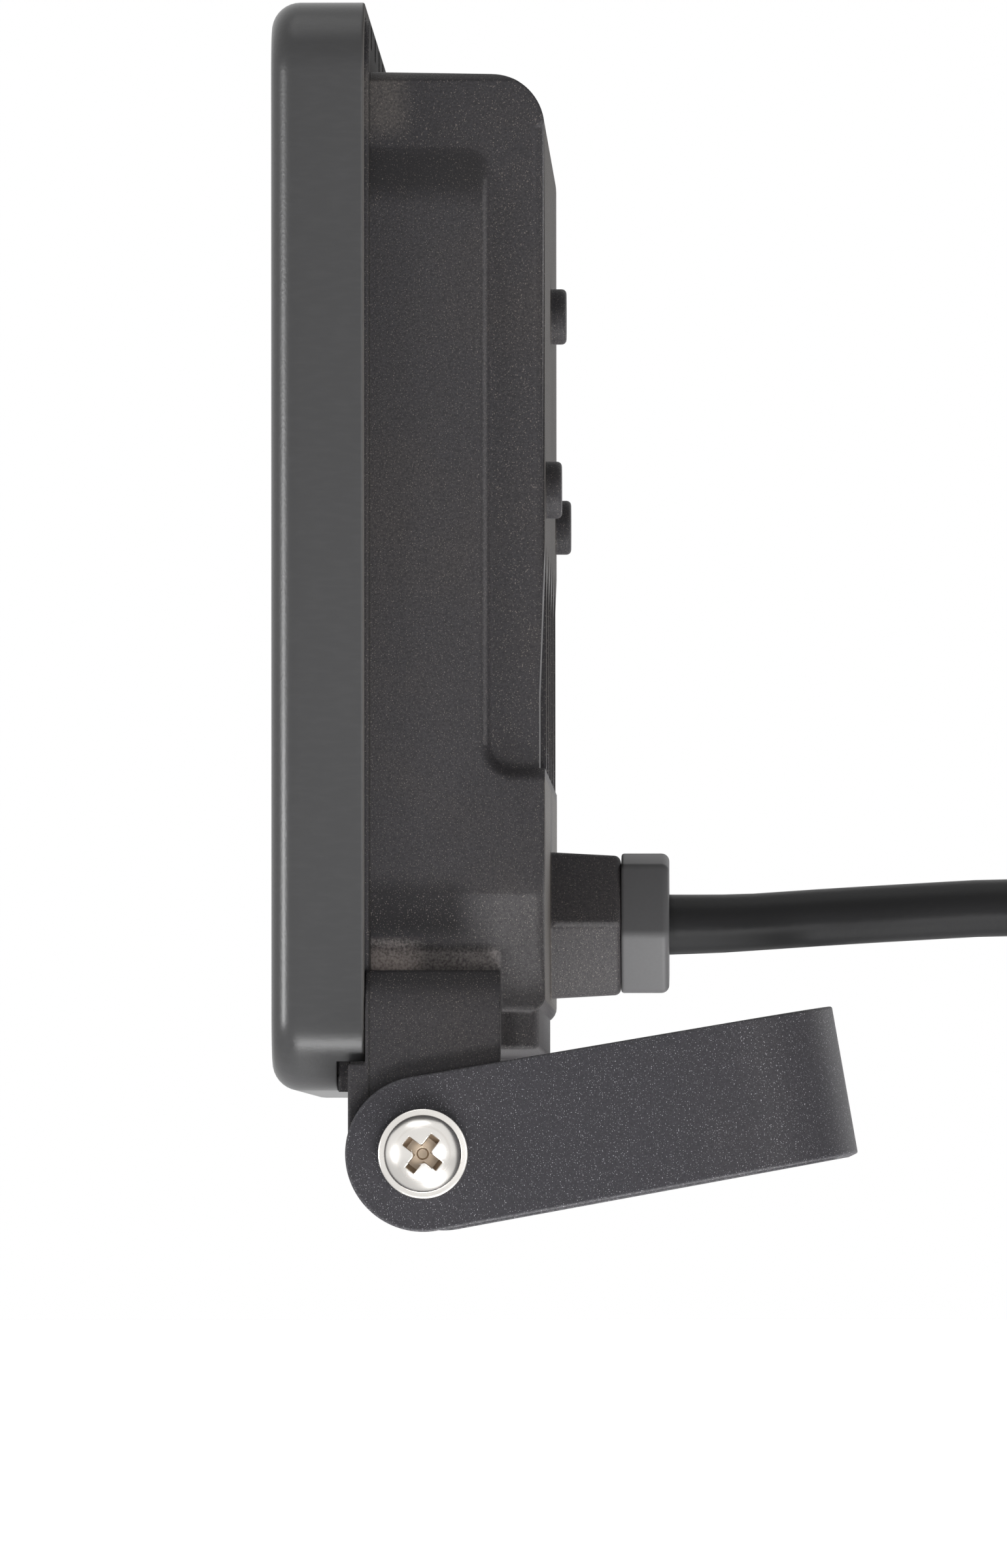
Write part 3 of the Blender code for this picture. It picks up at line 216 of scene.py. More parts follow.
class NodeHolder:
    def __init__(self, finish, node):
        self.finish = finish
        self.node = node

    def socketFor(self, sockets, name):
        return next(s for s in sockets if s.name == name.replace("_", " ") and s.enabled)

    def put(self, name, value):
        if isinstance(value, tuple) and isinstance(value[0], Wire):
            for part, slot in zip(value, self.node.inputs):  # one link for each input of the name
                self.finish.tree.links.new(part.socket, slot)
            return
        socket = self.socketFor(self.node.inputs, name)
        if isinstance(value, Wire):
            self.finish.tree.links.new(value.socket, socket)
        elif isinstance(value, tuple) and socket.type == "RGBA":
            socket.default_value = (*value, 1)
        else:
            socket.default_value = value

    def putAll(self, sockets):
        for name, value in sockets.items():
            self.put(name, value)

    def out(self, name):
        return Wire(self.finish.tree, self.socketFor(self.node.outputs, name))


# Powder coats: a pebbled skin with fine sparkling specks and faint warm patches; the housing's marks are
# mostly painted light and shade, and the bracket's edges carry a painted highlight
housingCoat = {
    "colour": (0.0315, 0.0297, 0.0325),
    "dark": (0.017, 0.016, 0.0175),
    "warm": (0.043, 0.0375, 0.036),
    "speck": (0.24, 0.21, 0.19),
    "speckFrom": 0.69,
    "speckShare": 0.45,
    "grain": 3300,
    "grainDepth": 0.00006,
    "roughness": 0.56,
    "specular": 0.22,
    "edge": 0.0005,
    "sideSoft": 0.05,
    "markGain": 1.6,
    "lightFrom": 0.06,
    # marks on the coat, most of them painted light and shade: across, along, up, softness, tone, how much of
    # it and how much rougher
    "marks": [
        # painted light: a lighter band on the slope behind the ear, a little smoother
        ((70.0, 77.8), (9.2, 13.6), (17.6, 31.0), 2.2, (0.050, 0.047, 0.048), 0.55, -0.05),
        # painted shadow: a dark, rougher patch on the slope under the crease
        ((70.0, 77.8), (-9.5, 3.5), (28.0, 31.5), 3.0, (0.007, 0.0065, 0.007), 0.46, 0.40),
        # painted light on the slope just above the ear, where the ear's shadow falls
        ((70.0, 76.5), (-8.5, 8.6), (21.0, 24.4), 1.0, (0.230, 0.210, 0.203), 0.60, 0.0),
        # painted light: a warm bright patch on the slope above the ear
        ((70.0, 76.5), (-5.6, -2.4), (21.0, 23.8), 2.8, (0.540, 0.470, 0.440), 0.52, 0.0),
        # painted shade: a darker, rougher band on the ear below its top edge
        ((78.0, 90.0), (-9.5, 9.5), (21.0, 24.0), 2.0, (0.012, 0.0115, 0.012), 0.40, 0.30),
        # painted highlight: a light line along the raised panel's rear edge
        ((70.0, 90.0), (7.4, 7.6), (50.0, 119.0), 0.25, (0.070, 0.067, 0.069), 0.75, 0.0),
        # painted shade: a dark band on the ramp at the panel's top
        ((70.0, 90.0), (-8.0, 6.5), (118.4, 121.6), 1.4, (0.012, 0.0115, 0.012), 0.36, 0.0),
        # a lighter, warmer patch near the top of the side, by the flange
        ((70.0, 90.0), (-7.0, -3.5), (126.0, 131.0), 2.5, (0.075, 0.068, 0.064), 0.6, 0.0),
        # painted light: the back lighter and warmer, and rougher
        ((0.0, 90.0), (14.75, 14.9), (50.0, 140.0), 0.05, (0.046, 0.041, 0.038), 0.7, 0.2),
        # painted light: the lower back lighter and warmer
        ((0.0, 90.0), (14.75, 14.9), (17.0, 46.0), 0.05, (0.056, 0.049, 0.043), 0.7, 0.0),
        # the flange's rear face darker and rougher
        ((0.0, 90.0), (-6.7, -6.5), (0.0, 150.0), 0.05, (0.022, 0.021, 0.020), 0.6, 0.4),
        # painted highlight: a light line along the ridge of the gland boss
        ((8.0, 12.0), (15.5, 23.2), (28.85, 29.15), 0.3, (0.080, 0.077, 0.078), 0.8, 0.0),
        # painted highlight: a light line along the box's lower edge at the side, near the back
        ((70.0, 90.0), (9.8, 13.2), (17.5, 17.9), 0.3, (0.080, 0.076, 0.078), 0.8, 0.0),
    ],
}
bracketCoat = {
    "colour": (0.0262, 0.0248, 0.0295),
    "dark": (0.016, 0.0155, 0.018),
    "warm": (0.034, 0.031, 0.034),
    # painted highlight: a light tone laid along the bracket's edges
    "flecked": (0.150, 0.148, 0.155),
    "edgeHighlightFrom": (0.003, 0.03),
    "speck": (0.42, 0.41, 0.44),
    "speckFrom": 0.71,
    "speckShare": 0.62,
    "grain": 3600,
    "grainDepth": 0.00004,
    "roughness": 0.50,
    "specular": 0.25,
    "edge": 0.0003,
}


def makePowderCoat(name, v):
    made = Finish(name, v["colour"])
    patches = made.noise(40, detail=3, roughness=0.6)
    grain = made.noise(v["grain"], detail=2, roughness=0.6)
    specks = made.noise(v["grain"] * 2.1, detail=0).above(v["speckFrom"], v["speckFrom"] + 0.09)
    base = made.mix(patches.above(0.45, 0.75) * 0.7, v["colour"], v["warm"])
    rough = v["roughness"] - specks * 0.2
    shading = grain.above(0.62, 0.36) * 0.8
    if v.get("marks"):
        across, along, up = made.headPlaces()
        outwards = across.math("ABSOLUTE", across)
        # each mark lays its tone on the coat; most of them are painted light and shade
        for acrossSpan, alongSpan, upSpan, soft, tone, share, dull in v["marks"]:
            mark = along.between(*alongSpan, soft) * up.between(*upSpan, soft)
            mark = mark * outwards.between(*acrossSpan, v["sideSoft"]) * (share * v["markGain"])
            if sum(tone) > v["lightFrom"]:  # a light mark lies on the grain and evens it out
                mark = mark * (0.55 + grain.above(0.3, 0.7) * 0.45)
                shading = shading * (1 - mark.clamped() * 0.7)
            base = made.mix(mark, base, tone)
            if dull:
                rough = rough + mark * dull
    shaded = made.mix(shading, base, v["dark"])
    colour = made.mix(specks * v["speckShare"], shaded, v["speck"])
    edge = made.softEdge(v["edge"])
    # painted highlight: a light tone laid on the edges, where the rounded normal leaves the flat one
    if "flecked" in v:
        flat = made.node("ShaderNodeNewGeometry").out("Normal")
        facing = made.node("ShaderNodeVectorMath", {"operation": "DOT_PRODUCT"}, Vector=(edge, flat))
        paintedEdgeHighlight = (1 - facing.out("Value")).above(*v["edgeHighlightFrom"]) * grain.above(0.3, 0.7)
        colour = made.mix(paintedEdgeHighlight * 0.8, colour, v["flecked"])
    made.set(Base_Color=colour, Metallic=0.0, Roughness=rough, Specular_IOR_Level=v["specular"],
             Normal=made.bump(grain, v["grainDepth"], normal=edge))
    return made.material


# Smooth painted or moulded skins
def makeSmoothSkin(name, colour, roughness, grain=900, depth=0.000012, edge=0.0003, fleck=0.12,
                   specular=0.5):
    made = Finish(name, colour)
    cloud = made.noise(45, detail=4)
    fine = made.noise(grain, detail=2)
    tone = made.mix(cloud.above(0.3, 0.7) * fleck, colour, tuple(min(1, c * 1.5 + 0.01) for c in colour))
    flecked = made.mix(fine.above(0.4, 0.75) * fleck, tone, tuple(c * 0.7 for c in colour))
    made.set(Base_Color=flecked, Roughness=roughness + cloud * 0.08, Metallic=0.0, Specular_IOR_Level=specular,
             Normal=made.bump(fine, depth, normal=made.softEdge(edge)))
    return made.material


# The frame's satin paint, left rough on its rear edge
frameSatin = {
    "colour": (0.038, 0.038, 0.039),
    "streak": (0.048, 0.048, 0.049),
    "rear": (0.075, 0.070, 0.066),
    "roughness": 0.27,
    "rearRoughness": 0.95,
    "rearFrom": (-7.5, -7.25),
    "specular": 0.42,
    "grain": 2600,
    "grainDepth": 0.000016,
    "edge": 0.0004,
}


def makeFrameSatin(name, v):
    made = Finish(name, v["colour"])
    along = made.headPlaces()[1]
    rear = along.above(*v["rearFrom"])
    cloud = made.noise(45, detail=4)
    streak = made.noise(1400, detail=2, stretch=(1, 0.25, 1))
    fine = made.noise(v["grain"], detail=2)
    tone = made.mix(streak.above(0.45, 0.75) * 0.5, v["colour"], v["streak"])
    tone = made.mix(rear, tone, v["rear"])
    rougher = v["rearRoughness"] - v["roughness"]
    made.set(Base_Color=tone, Roughness=v["roughness"] + cloud * 0.08 + rear * rougher, Metallic=0.0,
             Specular_IOR_Level=v["specular"],
             Normal=made.bump(fine, v["grainDepth"], normal=made.softEdge(v["edge"])))
    return made.material


# Bright metal with a fine turned or rolled grain
def makeBrightMetal(name, colour, roughness, stretch=(1, 1, 1), grain=1500, depth=0.000004, edge=0.00015):
    made = Finish(name, colour)
    lines = made.noise(grain, detail=2, stretch=stretch)
    tone, cloud = made.clouded(colour)
    made.set(Base_Color=tone, Metallic=1.0, Roughness=roughness + lines * 0.10 + cloud * 0.05,
             Normal=made.bump(lines, depth, normal=made.softEdge(edge)))
    return made.material


# Screw heads: bright steel, browned and dull inside the recess, with a painted highlight in the recess's
# middle
screwSteel = {
    "colour": (0.77, 0.745, 0.71),
    "browned": (0.33, 0.27, 0.21),
    "roughness": 0.22,
    "crown": 87.45,
    "crownCurve": 0.047,
    "recessDepth": (0.10, 0.35),
    "recessRim": (3.3, 3.5),
    "recessFoot": (84.6, 85.0),
    "star": (1.1, 1.7),
    "grain": 3000,
    "grainDepth": 0.000002,
    "edge": 0.0001,
}


def makeScrewSteel(name, v):
    made = Finish(name, v["colour"])
    across, along, up = made.headPlaces()
    around = (along * along + up * up).power(0.5)
    outwards = across.math("ABSOLUTE", across)
    below = v["crown"] - v["crownCurve"] * around * around - outwards
    inside = below.above(*v["recessDepth"]) * (1 - around.above(*v["recessRim"]))
    inside = inside * outwards.above(*v["recessFoot"])
    # painted highlight: the middle of the recess is lighter in a star
    star = 1 - around.above(*v["star"])
    tone, cloud = made.clouded(v["colour"])
    fine = made.noise(v["grain"], detail=2)
    deep = made.mix(star * 0.8, v["browned"], tuple(c * 1.5 for c in v["browned"]))
    made.set(Base_Color=made.mix(inside, tone, deep), Metallic=1.0,
             Roughness=v["roughness"] + cloud * 0.06 + inside * 0.25,
             Normal=made.bump(fine, v["grainDepth"], normal=made.softEdge(v["edge"])))
    return made.material


def makeGlass(name):
    made = Finish(name, (0.9, 0.95, 0.94))
    film = made.noise(30, detail=3)
    made.set(Base_Color=(0.90, 0.96, 0.95), Roughness=0.03 + film * 0.03, Metallic=0.0,
             Alpha=0.10 + film.above(0.4, 0.8) * 0.04,
             Normal=made.bump(film, 0.000002))
    made.material.blend_method = "BLEND"
    return made.material


def makeLedPhosphor(name):
    made = Finish(name, (0.85, 0.65, 0.15))
    grain = made.noise(6000, detail=1)
    made.set(Base_Color=made.mix(grain, (0.86, 0.62, 0.12), (0.93, 0.76, 0.30)),
             Roughness=0.25 + grain * 0.1, Coat_Weight=0.6, Normal=made.bump(grain, 0.000004))
    return made.material


finishes = {
    "frame_satin": makeFrameSatin("frameSatin", frameSatin),
    "housing_coat": makePowderCoat("housingCoat", housingCoat),
    "bracket_coat": makePowderCoat("bracketCoat", bracketCoat),
    "nut_plastic": makeSmoothSkin("nutPlastic", (0.073, 0.072, 0.074), 0.44, grain=2500, depth=0.000008,
                                  specular=0.22),
    "lead_rubber": makeSmoothSkin("leadRubber", (0.0065, 0.0065, 0.007), 0.38, grain=1200, depth=0.00003,
                                  specular=0.18),
    "seal_rubber": makeSmoothSkin("sealRubber", (0.035, 0.035, 0.037), 0.65),
    "clear_glass": makeGlass("clearGlass"),
    "silicone": makeSmoothSkin("silicone", (0.72, 0.72, 0.71), 0.55),
    "stainless": makeScrewSteel("stainless", screwSteel),
    "bright_aluminium": makeBrightMetal("brightAluminium", (0.88, 0.89, 0.90), 0.12,
                                        stretch=(1, 1, 0.05)),
    "plain_aluminium": makeBrightMetal("plainAluminium", (0.72, 0.73, 0.74), 0.35, stretch=(0.05, 1, 1)),
    "white_mask": makeSmoothSkin("whiteMask", (0.86, 0.86, 0.84), 0.40, grain=2500, depth=0.000004,
                                 fleck=0.05),
    "green_mask": makeSmoothSkin("greenMask", (0.025, 0.17, 0.07), 0.35, grain=2500, depth=0.000006),
    "phosphor": makeLedPhosphor("phosphor"),
    "black_moulding": makeSmoothSkin("blackMoulding", (0.025, 0.025, 0.026), 0.40, grain=3500),
    "capacitor_sleeve": makeSmoothSkin("capacitorSleeve", (0.025, 0.035, 0.075), 0.30, grain=3000,
                                       depth=0.000004),
    "winding_tape": makeSmoothSkin("windingTape", (0.72, 0.52, 0.07), 0.45, grain=1800),
    "terminal_nylon": makeSmoothSkin("terminalNylon", (0.78, 0.78, 0.75), 0.45, grain=2500),
    "core_brown": makeSmoothSkin("coreBrown", (0.16, 0.06, 0.025), 0.42, grain=2500),
    "core_blue": makeSmoothSkin("coreBlue", (0.02, 0.09, 0.38), 0.42, grain=2500),
    "core_red": makeSmoothSkin("coreRed", (0.48, 0.02, 0.02), 0.42, grain=2500),
    "core_black": makeSmoothSkin("coreBlack", (0.025, 0.025, 0.025), 0.42, grain=2500),
    "tinned": makeBrightMetal("tinned", (0.76, 0.74, 0.70), 0.28, grain=3000),
}


def makeStripedCore(name):
    made = Finish(name, (0.2, 0.4, 0.05))
    stripe = made.node("ShaderNodeTexWave", {"bands_direction": "X"}, Vector=made.place, Scale=260).out("Fac")
    fine = made.noise(2500)
    colour = made.mix(stripe.above(0.55, 0.62), (0.05, 0.30, 0.06), (0.72, 0.60, 0.04))
    made.set(Base_Color=colour, Roughness=0.4 + fine * 0.08, Normal=made.bump(fine, 0.000006))
    return made.material


finishes["core_green"] = makeStripedCore("coreGreen")

slotOfNode = {row["node"]: row["material_slot"] for row in frame["record"]["subparts"]}
for nodeName, nodeObject in frame["nodes"].items():
    nodeObject.data.materials.clear()
    nodeObject.data.materials.append(finishes[slotOfNode[nodeName]])
print("finishes made")


# Modelling steps
def block(name, low, high):
    clearSelection()
    middle = [(a + b) / 2 * mm for a, b in zip(low, high)]
    bpy.ops.mesh.primitive_cube_add(size=1, location=middle)
    piece = bpy.context.object
    piece.name = name
    piece.scale = [(b - a) * mm for a, b in zip(low, high)]
    bpy.ops.object.transform_apply()
    return piece


def rod(name, centre, radius, length, axis, sides=64, phase=0.0):
    clearSelection()
    turn = {"X": (0, math.pi / 2, 0), "Y": (-math.pi / 2, 0, 0), "Z": (0, 0, 0)}[axis]
    bpy.ops.mesh.primitive_cylinder_add(vertices=sides, radius=radius * mm, depth=length * mm)
    piece = bpy.context.object
    piece.name = name
    piece.data.transform(Matrix.Rotation(phase, 4, "Z"))
    piece.rotation_euler = turn
    piece.location = Vector(centre) * mm
    bpy.ops.object.transform_apply()
    return piece


def openPiece(piece, kind):
    # edit mode with nothing selected
    takeUp(piece)
    bpy.ops.object.mode_set(mode="EDIT")
    bpy.ops.mesh.select_mode(type=kind)
    bpy.ops.mesh.select_all(action="DESELECT")
    return bmesh.from_edit_mesh(piece.data)


def openWhole(piece):
    takeUp(piece)
    bpy.ops.object.mode_set(mode="EDIT")
    bpy.ops.mesh.select_all(action="SELECT")


def pickFaces(piece, test):
    mesh = openPiece(piece, "FACE")
    for face in mesh.faces:
        face.select_set(bool(test(face.calc_center_median() / mm, face.normal)))
    bmesh.update_edit_mesh(piece.data)


def pickEdges(piece, test):
    mesh = openPiece(piece, "EDGE")
    for edge in mesh.edges:
        edge.select_set(bool(test(edge.verts[0].co / mm, edge.verts[1].co / mm)))
    bmesh.update_edit_mesh(piece.data)


def pickPoints(piece, test):
    mesh = openPiece(piece, "VERT")
    for point in mesh.verts:
        point.select_set(bool(test(point.co / mm)))
    mesh.select_flush(True)
    bmesh.update_edit_mesh(piece.data)


def done():
    bpy.ops.object.mode_set(mode="OBJECT")


def near(a, b):
    return abs(a - b) < 0.01


def alongY(a, b):
    return not near(a.y, b.y) and near(a.x, b.x) and near(a.z, b.z)


def alongX(y, z):
    return lambda a, b: near(a.y, y) and near(b.y, y) and near(a.z, z) and near(b.z, z)


def alongZ(y):
    return lambda a, b: near(a.y, y) and near(b.y, y) and near(a.x, b.x)


def roundEdges(piece, test, radius, steps):
    pickEdges(piece, test)
    bpy.ops.mesh.bevel(offset=radius * mm, offset_type="OFFSET", segments=steps, affect="EDGES",
                       clamp_overlap=False)
    done()


def roundRim(piece, axis, level, radius, steps):
    # the edges that lie at one level of the axis
    roundEdges(piece, lambda a, b: near(a[axis], level) and near(b[axis], level), radius, steps)


def sliceAt(piece, point, normal):
    openWhole(piece)
    bpy.ops.mesh.bisect(plane_co=Vector(point) * mm, plane_no=normal)
    done()


def movePoints(piece, test, shift):
    pickPoints(piece, test)
    bpy.ops.transform.translate(value=Vector(shift) * mm)
    done()


def combine(piece, *others, operation="DIFFERENCE"):
    for other in others:
        takeUp(piece)
        step = piece.modifiers.new("step", "BOOLEAN")
        step.operation = operation
        step.solver = "EXACT"
        step.object = other
        bpy.ops.object.modifier_apply(modifier=step.name)
        bpy.data.objects.remove(other, do_unlink=True)
    return piece


def fuse(piece, *others):
    return combine(piece, *others, operation="UNION")


def extrude(*shift):
    bpy.ops.mesh.extrude_region_move(TRANSFORM_OT_translate={"value": tuple(part * mm for part in shift)})


def mirrored(piece, keep=False):
    # the mirror image about the middle plane; the piece itself goes unless it is kept
    other = piece.copy()
    other.data = piece.data.copy()
    bpy.context.scene.collection.objects.link(other)
    other.data.transform(Matrix.Scale(-1, 4, (1, 0, 0)))
    other.data.flip_normals()
    if not keep:
        bpy.data.objects.remove(piece, do_unlink=True)
    return other


# What counts as one point, as a sliver (in metres), as flat and as a smooth join (in degrees)
meshCare = {
    "weld": 0.000008,
    "weldBeforeBevel": 0.00002,
    "sliver": 0.00001,
    "hole": 6,
    "flat": 1,
    "smooth": 14,
}


def softenEdges(piece, width, steps=3, angle=35):
    # bevels every edge that is sharper than the angle
    openWhole(piece)
    bpy.ops.mesh.remove_doubles(threshold=meshCare["weldBeforeBevel"])
    bpy.ops.mesh.dissolve_limited(angle_limit=math.radians(meshCare["flat"]))
    bpy.ops.mesh.select_mode(type="EDGE")
    bpy.ops.mesh.select_all(action="DESELECT")
    bpy.ops.mesh.edges_select_sharp(sharpness=math.radians(angle))
    bpy.ops.mesh.bevel(offset=width * mm, segments=steps, affect="EDGES", clamp_overlap=False)
    done()


def seatPiece(piece, body, slotName, nodes, place=headPlace, triangles=False):
    # closes the mesh, moves it to its place and hands it over
    openWhole(piece)
    bpy.ops.mesh.remove_doubles(threshold=meshCare["weld"])
    if triangles:
        bpy.ops.mesh.quads_convert_to_tris()
        bpy.ops.mesh.dissolve_degenerate(threshold=meshCare["sliver"])
    bpy.ops.mesh.fill_holes(sides=meshCare["hole"])
    bpy.ops.mesh.normals_make_consistent(inside=False)
    done()
    bpy.ops.object.shade_smooth_by_angle(angle=math.radians(meshCare["smooth"]))
    piece.matrix_world = place
    bpy.context.view_layer.update()
    bpy.ops.object.transform_apply()
    piece.data.materials.clear()
    piece.data.materials.append(finishes[slotName])
    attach(piece, body)
    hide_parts(*nodes)


# Supply lead: straight out of the gland, a wide bend, then down to its bare end
leadValues = {
    "route": [
        (28.6, 29.1), (38.0, 29.3), (49.0, 30.0), (61.0, 30.7), (72.4, 31.2), (84.0, 30.6), (95.0, 27.8),
        (104.5, 22.2), (112.0, 14.0), (117.2, 3.6), (120.2, -8.4), (121.2, -22.0), (120.8, -38.0),
        (119.6, -56.0), (118.2, -75.0), (117.0, -94.0), (116.2, -113.0), (115.8, -131.0), (115.6, -147.0),
        (115.5, -162.0),
    ],
    "step": 4.0,
    "diameter": 7.2,
    "mouthShare": 1.06,
    "mouthSteps": 3,
    "ringSteps": 10,
}


def smoothRoute(route, step):
    ends = [2 * route[0] - route[1], *route, 2 * route[-1] - route[-2]]
    fine = []
    shareCount = 16
    for before, here, there, after in zip(ends, ends[1:], ends[2:], ends[3:]):
        for i in range(shareCount):
            t = i / shareCount
            curve = 2 * here + (there - before) * t
            curve = curve + (2 * before - 5 * here + 4 * there - after) * t**2
            fine.append((curve + (3 * here - before - 3 * there + after) * t**3) / 2)
    fine.append(route[-1])
    total = sum((b - a).length for a, b in zip(fine, fine[1:]))
    count = max(2, round(total / step))
    points = [fine[0]]
    walked = 0
    for a, b in zip(fine, fine[1:]):
        length = (b - a).length
        while len(points) < count and walked + length >= total * len(points) / count:
            points.append(a.lerp(b, (total * len(points) / count - walked) / length))
        walked += length
    return [*points, fine[-1]], total


def makeLead(v):
    route = [headPlace @ (Vector((0, y, z)) * mm) for y, z in v["route"]]
    points, length = smoothRoute(route, v["step"] * mm)
    curve = bpy.data.curves.new("supplyLead", "CURVE")
    curve.dimensions = "3D"
    curve.bevel_depth = v["diameter"] / 2 * mm
    curve.bevel_resolution = v["ringSteps"]
    curve.use_fill_caps = True
    line = curve.splines.new("POLY")
    line.points.add(len(points) - 1)
    for i, point in enumerate(points):
        line.points[i].co = (*point, 1)
        share = max(0, 1 - i / v["mouthSteps"])
        line.points[i].radius = 1 + (v["mouthShare"] - 1) * share
    lead = bpy.data.objects.new("supplyLead", curve)
    bpy.context.scene.collection.objects.link(lead)
    curve.materials.append(finishes["lead_rubber"])
    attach(lead, "head")
    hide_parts("supply_lead")


makeLead(leadValues)
print("lead laid")


# Bezel: a rounded block, hollowed from behind, with an opening for the glass, clips and two notches
bezelValues = {
    "low": (-80, -18.6, 7.75),
    "high": (80, -7.2, 141.0),
    "corner": 9.0,
    "frontRound": 3.5,
    "rearRound": 0.3,
    "wall": 1.8,
    "lip": 1.8,
    "border": 12.0,
    "openingRound": 0.8,
    "notch": {"side": 70.0, "front": -10.6, "top": 11.3},
    "clipCount": 6,
    "clipPitch": 25.0,
    "clip": {"half": 2.5, "inset": 2.9, "thick": 1.2, "hook": 0.9, "back": -7.9, "tip": 1.0, "gap": 0.3},
}


def clipPlaces(v):
    # for each clip its place across, the bezel's edge beside it and which way is inwards
    for i in range(v["clipCount"]):
        place = (i - (v["clipCount"] - 1) / 2) * v["clipPitch"]
        yield place, v["low"][2], 1
        yield place, v["high"][2], -1


def makeBezel(v):
    low, high = Vector(v["low"]), Vector(v["high"])
    bezel = block("bezel", low, high)
    roundEdges(bezel, alongY, v["corner"], 14)
    roundRim(bezel, 1, low.y, v["frontRound"], 9)
    roundRim(bezel, 1, high.y, v["rearRound"], 3)
    border, wall = v["border"], v["wall"]
    opening = block("opening", (low.x + border, low.y - 2, low.z + border),
                    (high.x - border, high.y, high.z - border))
    roundEdges(opening, alongY, v["openingRound"], 4)
    cavity = block("cavity", (low.x + wall, low.y + v["lip"], low.z + wall),
                   (high.x - wall, high.y + 2, high.z - wall))
    roundEdges(cavity, alongY, v["corner"] - wall, 12)
    combine(bezel, opening, cavity)
    edge = v["openingRound"]
    roundEdges(bezel, lambda a, b: near(a.y, low.y) and near(b.y, low.y)
               and max(abs(a.x), abs(b.x)) < high.x - border + edge
               and min(a.z, b.z) > low.z + border - edge, edge, 4)
    clip = v["clip"]
    tip = clip["back"] + clip["tip"]
    for place, edgeZ, inwards in clipPlaces(v):
        outer = edgeZ + inwards * clip["inset"]
        inner = outer + inwards * clip["thick"]
        left, right = place - clip["half"], place + clip["half"]
        ends = sorted((outer, inner))
        tongue = block("clip", (left, low.y + v["lip"] - 0.5, ends[0]), (right, tip, ends[1]))
        hookEnd = inner + inwards * clip["hook"]
        ends = sorted((inner - inwards * 0.3, hookEnd))
        hook = block("hook", (left, clip["back"], ends[0]), (right, tip, ends[1]))
        movePoints(hook, lambda p: near(p.z, hookEnd) and near(p.y, tip), (0, 0, -inwards * clip["hook"]))
        fuse(tongue, hook)
        fuse(bezel, tongue)
    notch = v["notch"]
    for sign in (1, -1):
        ends = sorted((sign * notch["side"], sign * (high.x + 2)))
        combine(bezel, block("notch", (ends[0], notch["front"], low.z - 2),
                             (ends[1], high.y + 2, notch["top"])))
    seatPiece(bezel, "head", "frame_satin", ["front_frame"])


makeBezel(bezelValues)
print("bezel made")


# Cast housing
housingValues = {
    "flange": {"low": (-77.9, -11.4, 9.8), "high": (77.9, -6.6, 138.9), "corner": 6.9, "rearRound": 0.3},
    "box": {"half": 77.5, "front": -9.1, "back": 14.8, "low": 17.4, "high": 132.4, "draft": 0.5,
            "corner": 5.0, "rearRound": 6.5, "lowRound": 2.0, "foot": 72.5, "crease": 31.7, "backRound": 1.6},
    "panel": {"step": 1.8, "back": 8.2, "top": 123.0, "shoulder": 47.1, "ramp": 5.0, "round": 3.4,
              "shoulderRound": 3.0, "rings": [(0.80, 0.65), (0.30, 0.20), (0.35, 0.11), (0.45, 0.04)]},
    "neck": {"half": 71.0, "back": 14.0, "low": 12.8},
    "ear": {"face": 80.4, "inner": 75.9, "root": 70.0, "rootLow": 12.8, "front": -9.2, "upperFront": -7.1,
            "back": 9.4, "top": 22.4, "step": 11.0, "round": 9.2, "topChamfer": 1.8, "topRamp": 3.8,
            "hole": 2.8},
    "web": {"inner": 70.4, "outer": 76.0, "front": -10.4, "back": -9.0, "low": 7.6, "high": 13.2},
    "studs": [(0, 105.8), (64.0, 81.5), (-64.0, 81.5)],
    "stud": {"radius": 3.5, "height": 2.0, "round": 0.6},
    "gland": {"height": 29.0, "flat": 18.4, "taper": 0.5, "length": 8.8, "round": 0.8, "neckRadius": 6.5,
              "neckLength": 3.6, "bore": 5.0},
    "ribs": {"count": 5, "pitch": 28.0, "width": 5.0, "depth": 0.7, "fade": 19.0, "height": 9.0},
    "hollow": {"half": 74.0, "front": -8.9, "back": 12.3, "low": 19.9, "high": 129.9, "foot": 70.0,
               "crease": 31.7, "corner": 2.5},
    "window": {"half": 68.5, "low": 18.9, "high": 129.5},
    "bosses": [
        (62.4, 123.4, -2.9), (-62.4, 123.4, -2.9), (62.4, 25.0, -2.9), (-62.4, 25.0, -2.9),
        (30.5, 110.5, 9.0), (-30.5, 110.5, 9.0), (30.5, 59.5, 9.0), (-30.5, 59.5, 9.0),
        (28.0, 29.0, 8.3),
    ],
    "boss": {"radius": 3.4, "hole": 1.8, "depth": 7.0},
    "valley": {"low": 47.1},
    "edges": {"low": 0.9, "neckBack": 3.2, "neckLow": 0.6, "earEdge": 0.35, "earCrease": 1.9},
}


def frontPrism(name, v, back):
    piece = block(name, (-v["half"], v["front"], v["low"]), (v["half"], back, v["high"]))
    sliceAt(piece, (0, 0, v["crease"]), (0, 0, 1))
    for sign in (1, -1):
        movePoints(piece, lambda p: near(p.z, v["low"]) and near(p.x, sign * v["half"]),
                   (sign * (v["foot"] - v["half"]), 0, 0))
    roundEdges(piece, lambda a, b: alongY(a, b) and near(a.z, v["high"]), v["corner"], 10)
    return piece


def sidePrism(name, v, reach):
    piece = block(name, (-reach, v["front"], v["low"]), (reach, v["back"], v["high"]))
    movePoints(piece, lambda p: near(p.z, v["high"]) and near(p.y, v["back"]), (0, 0, -v["draft"]))
    roundEdges(piece, alongX(v["back"], v["high"] - v["draft"]), v["rearRound"], 18)
    roundEdges(piece, alongX(v["back"], v["low"]), v["lowRound"], 6)
    return piece


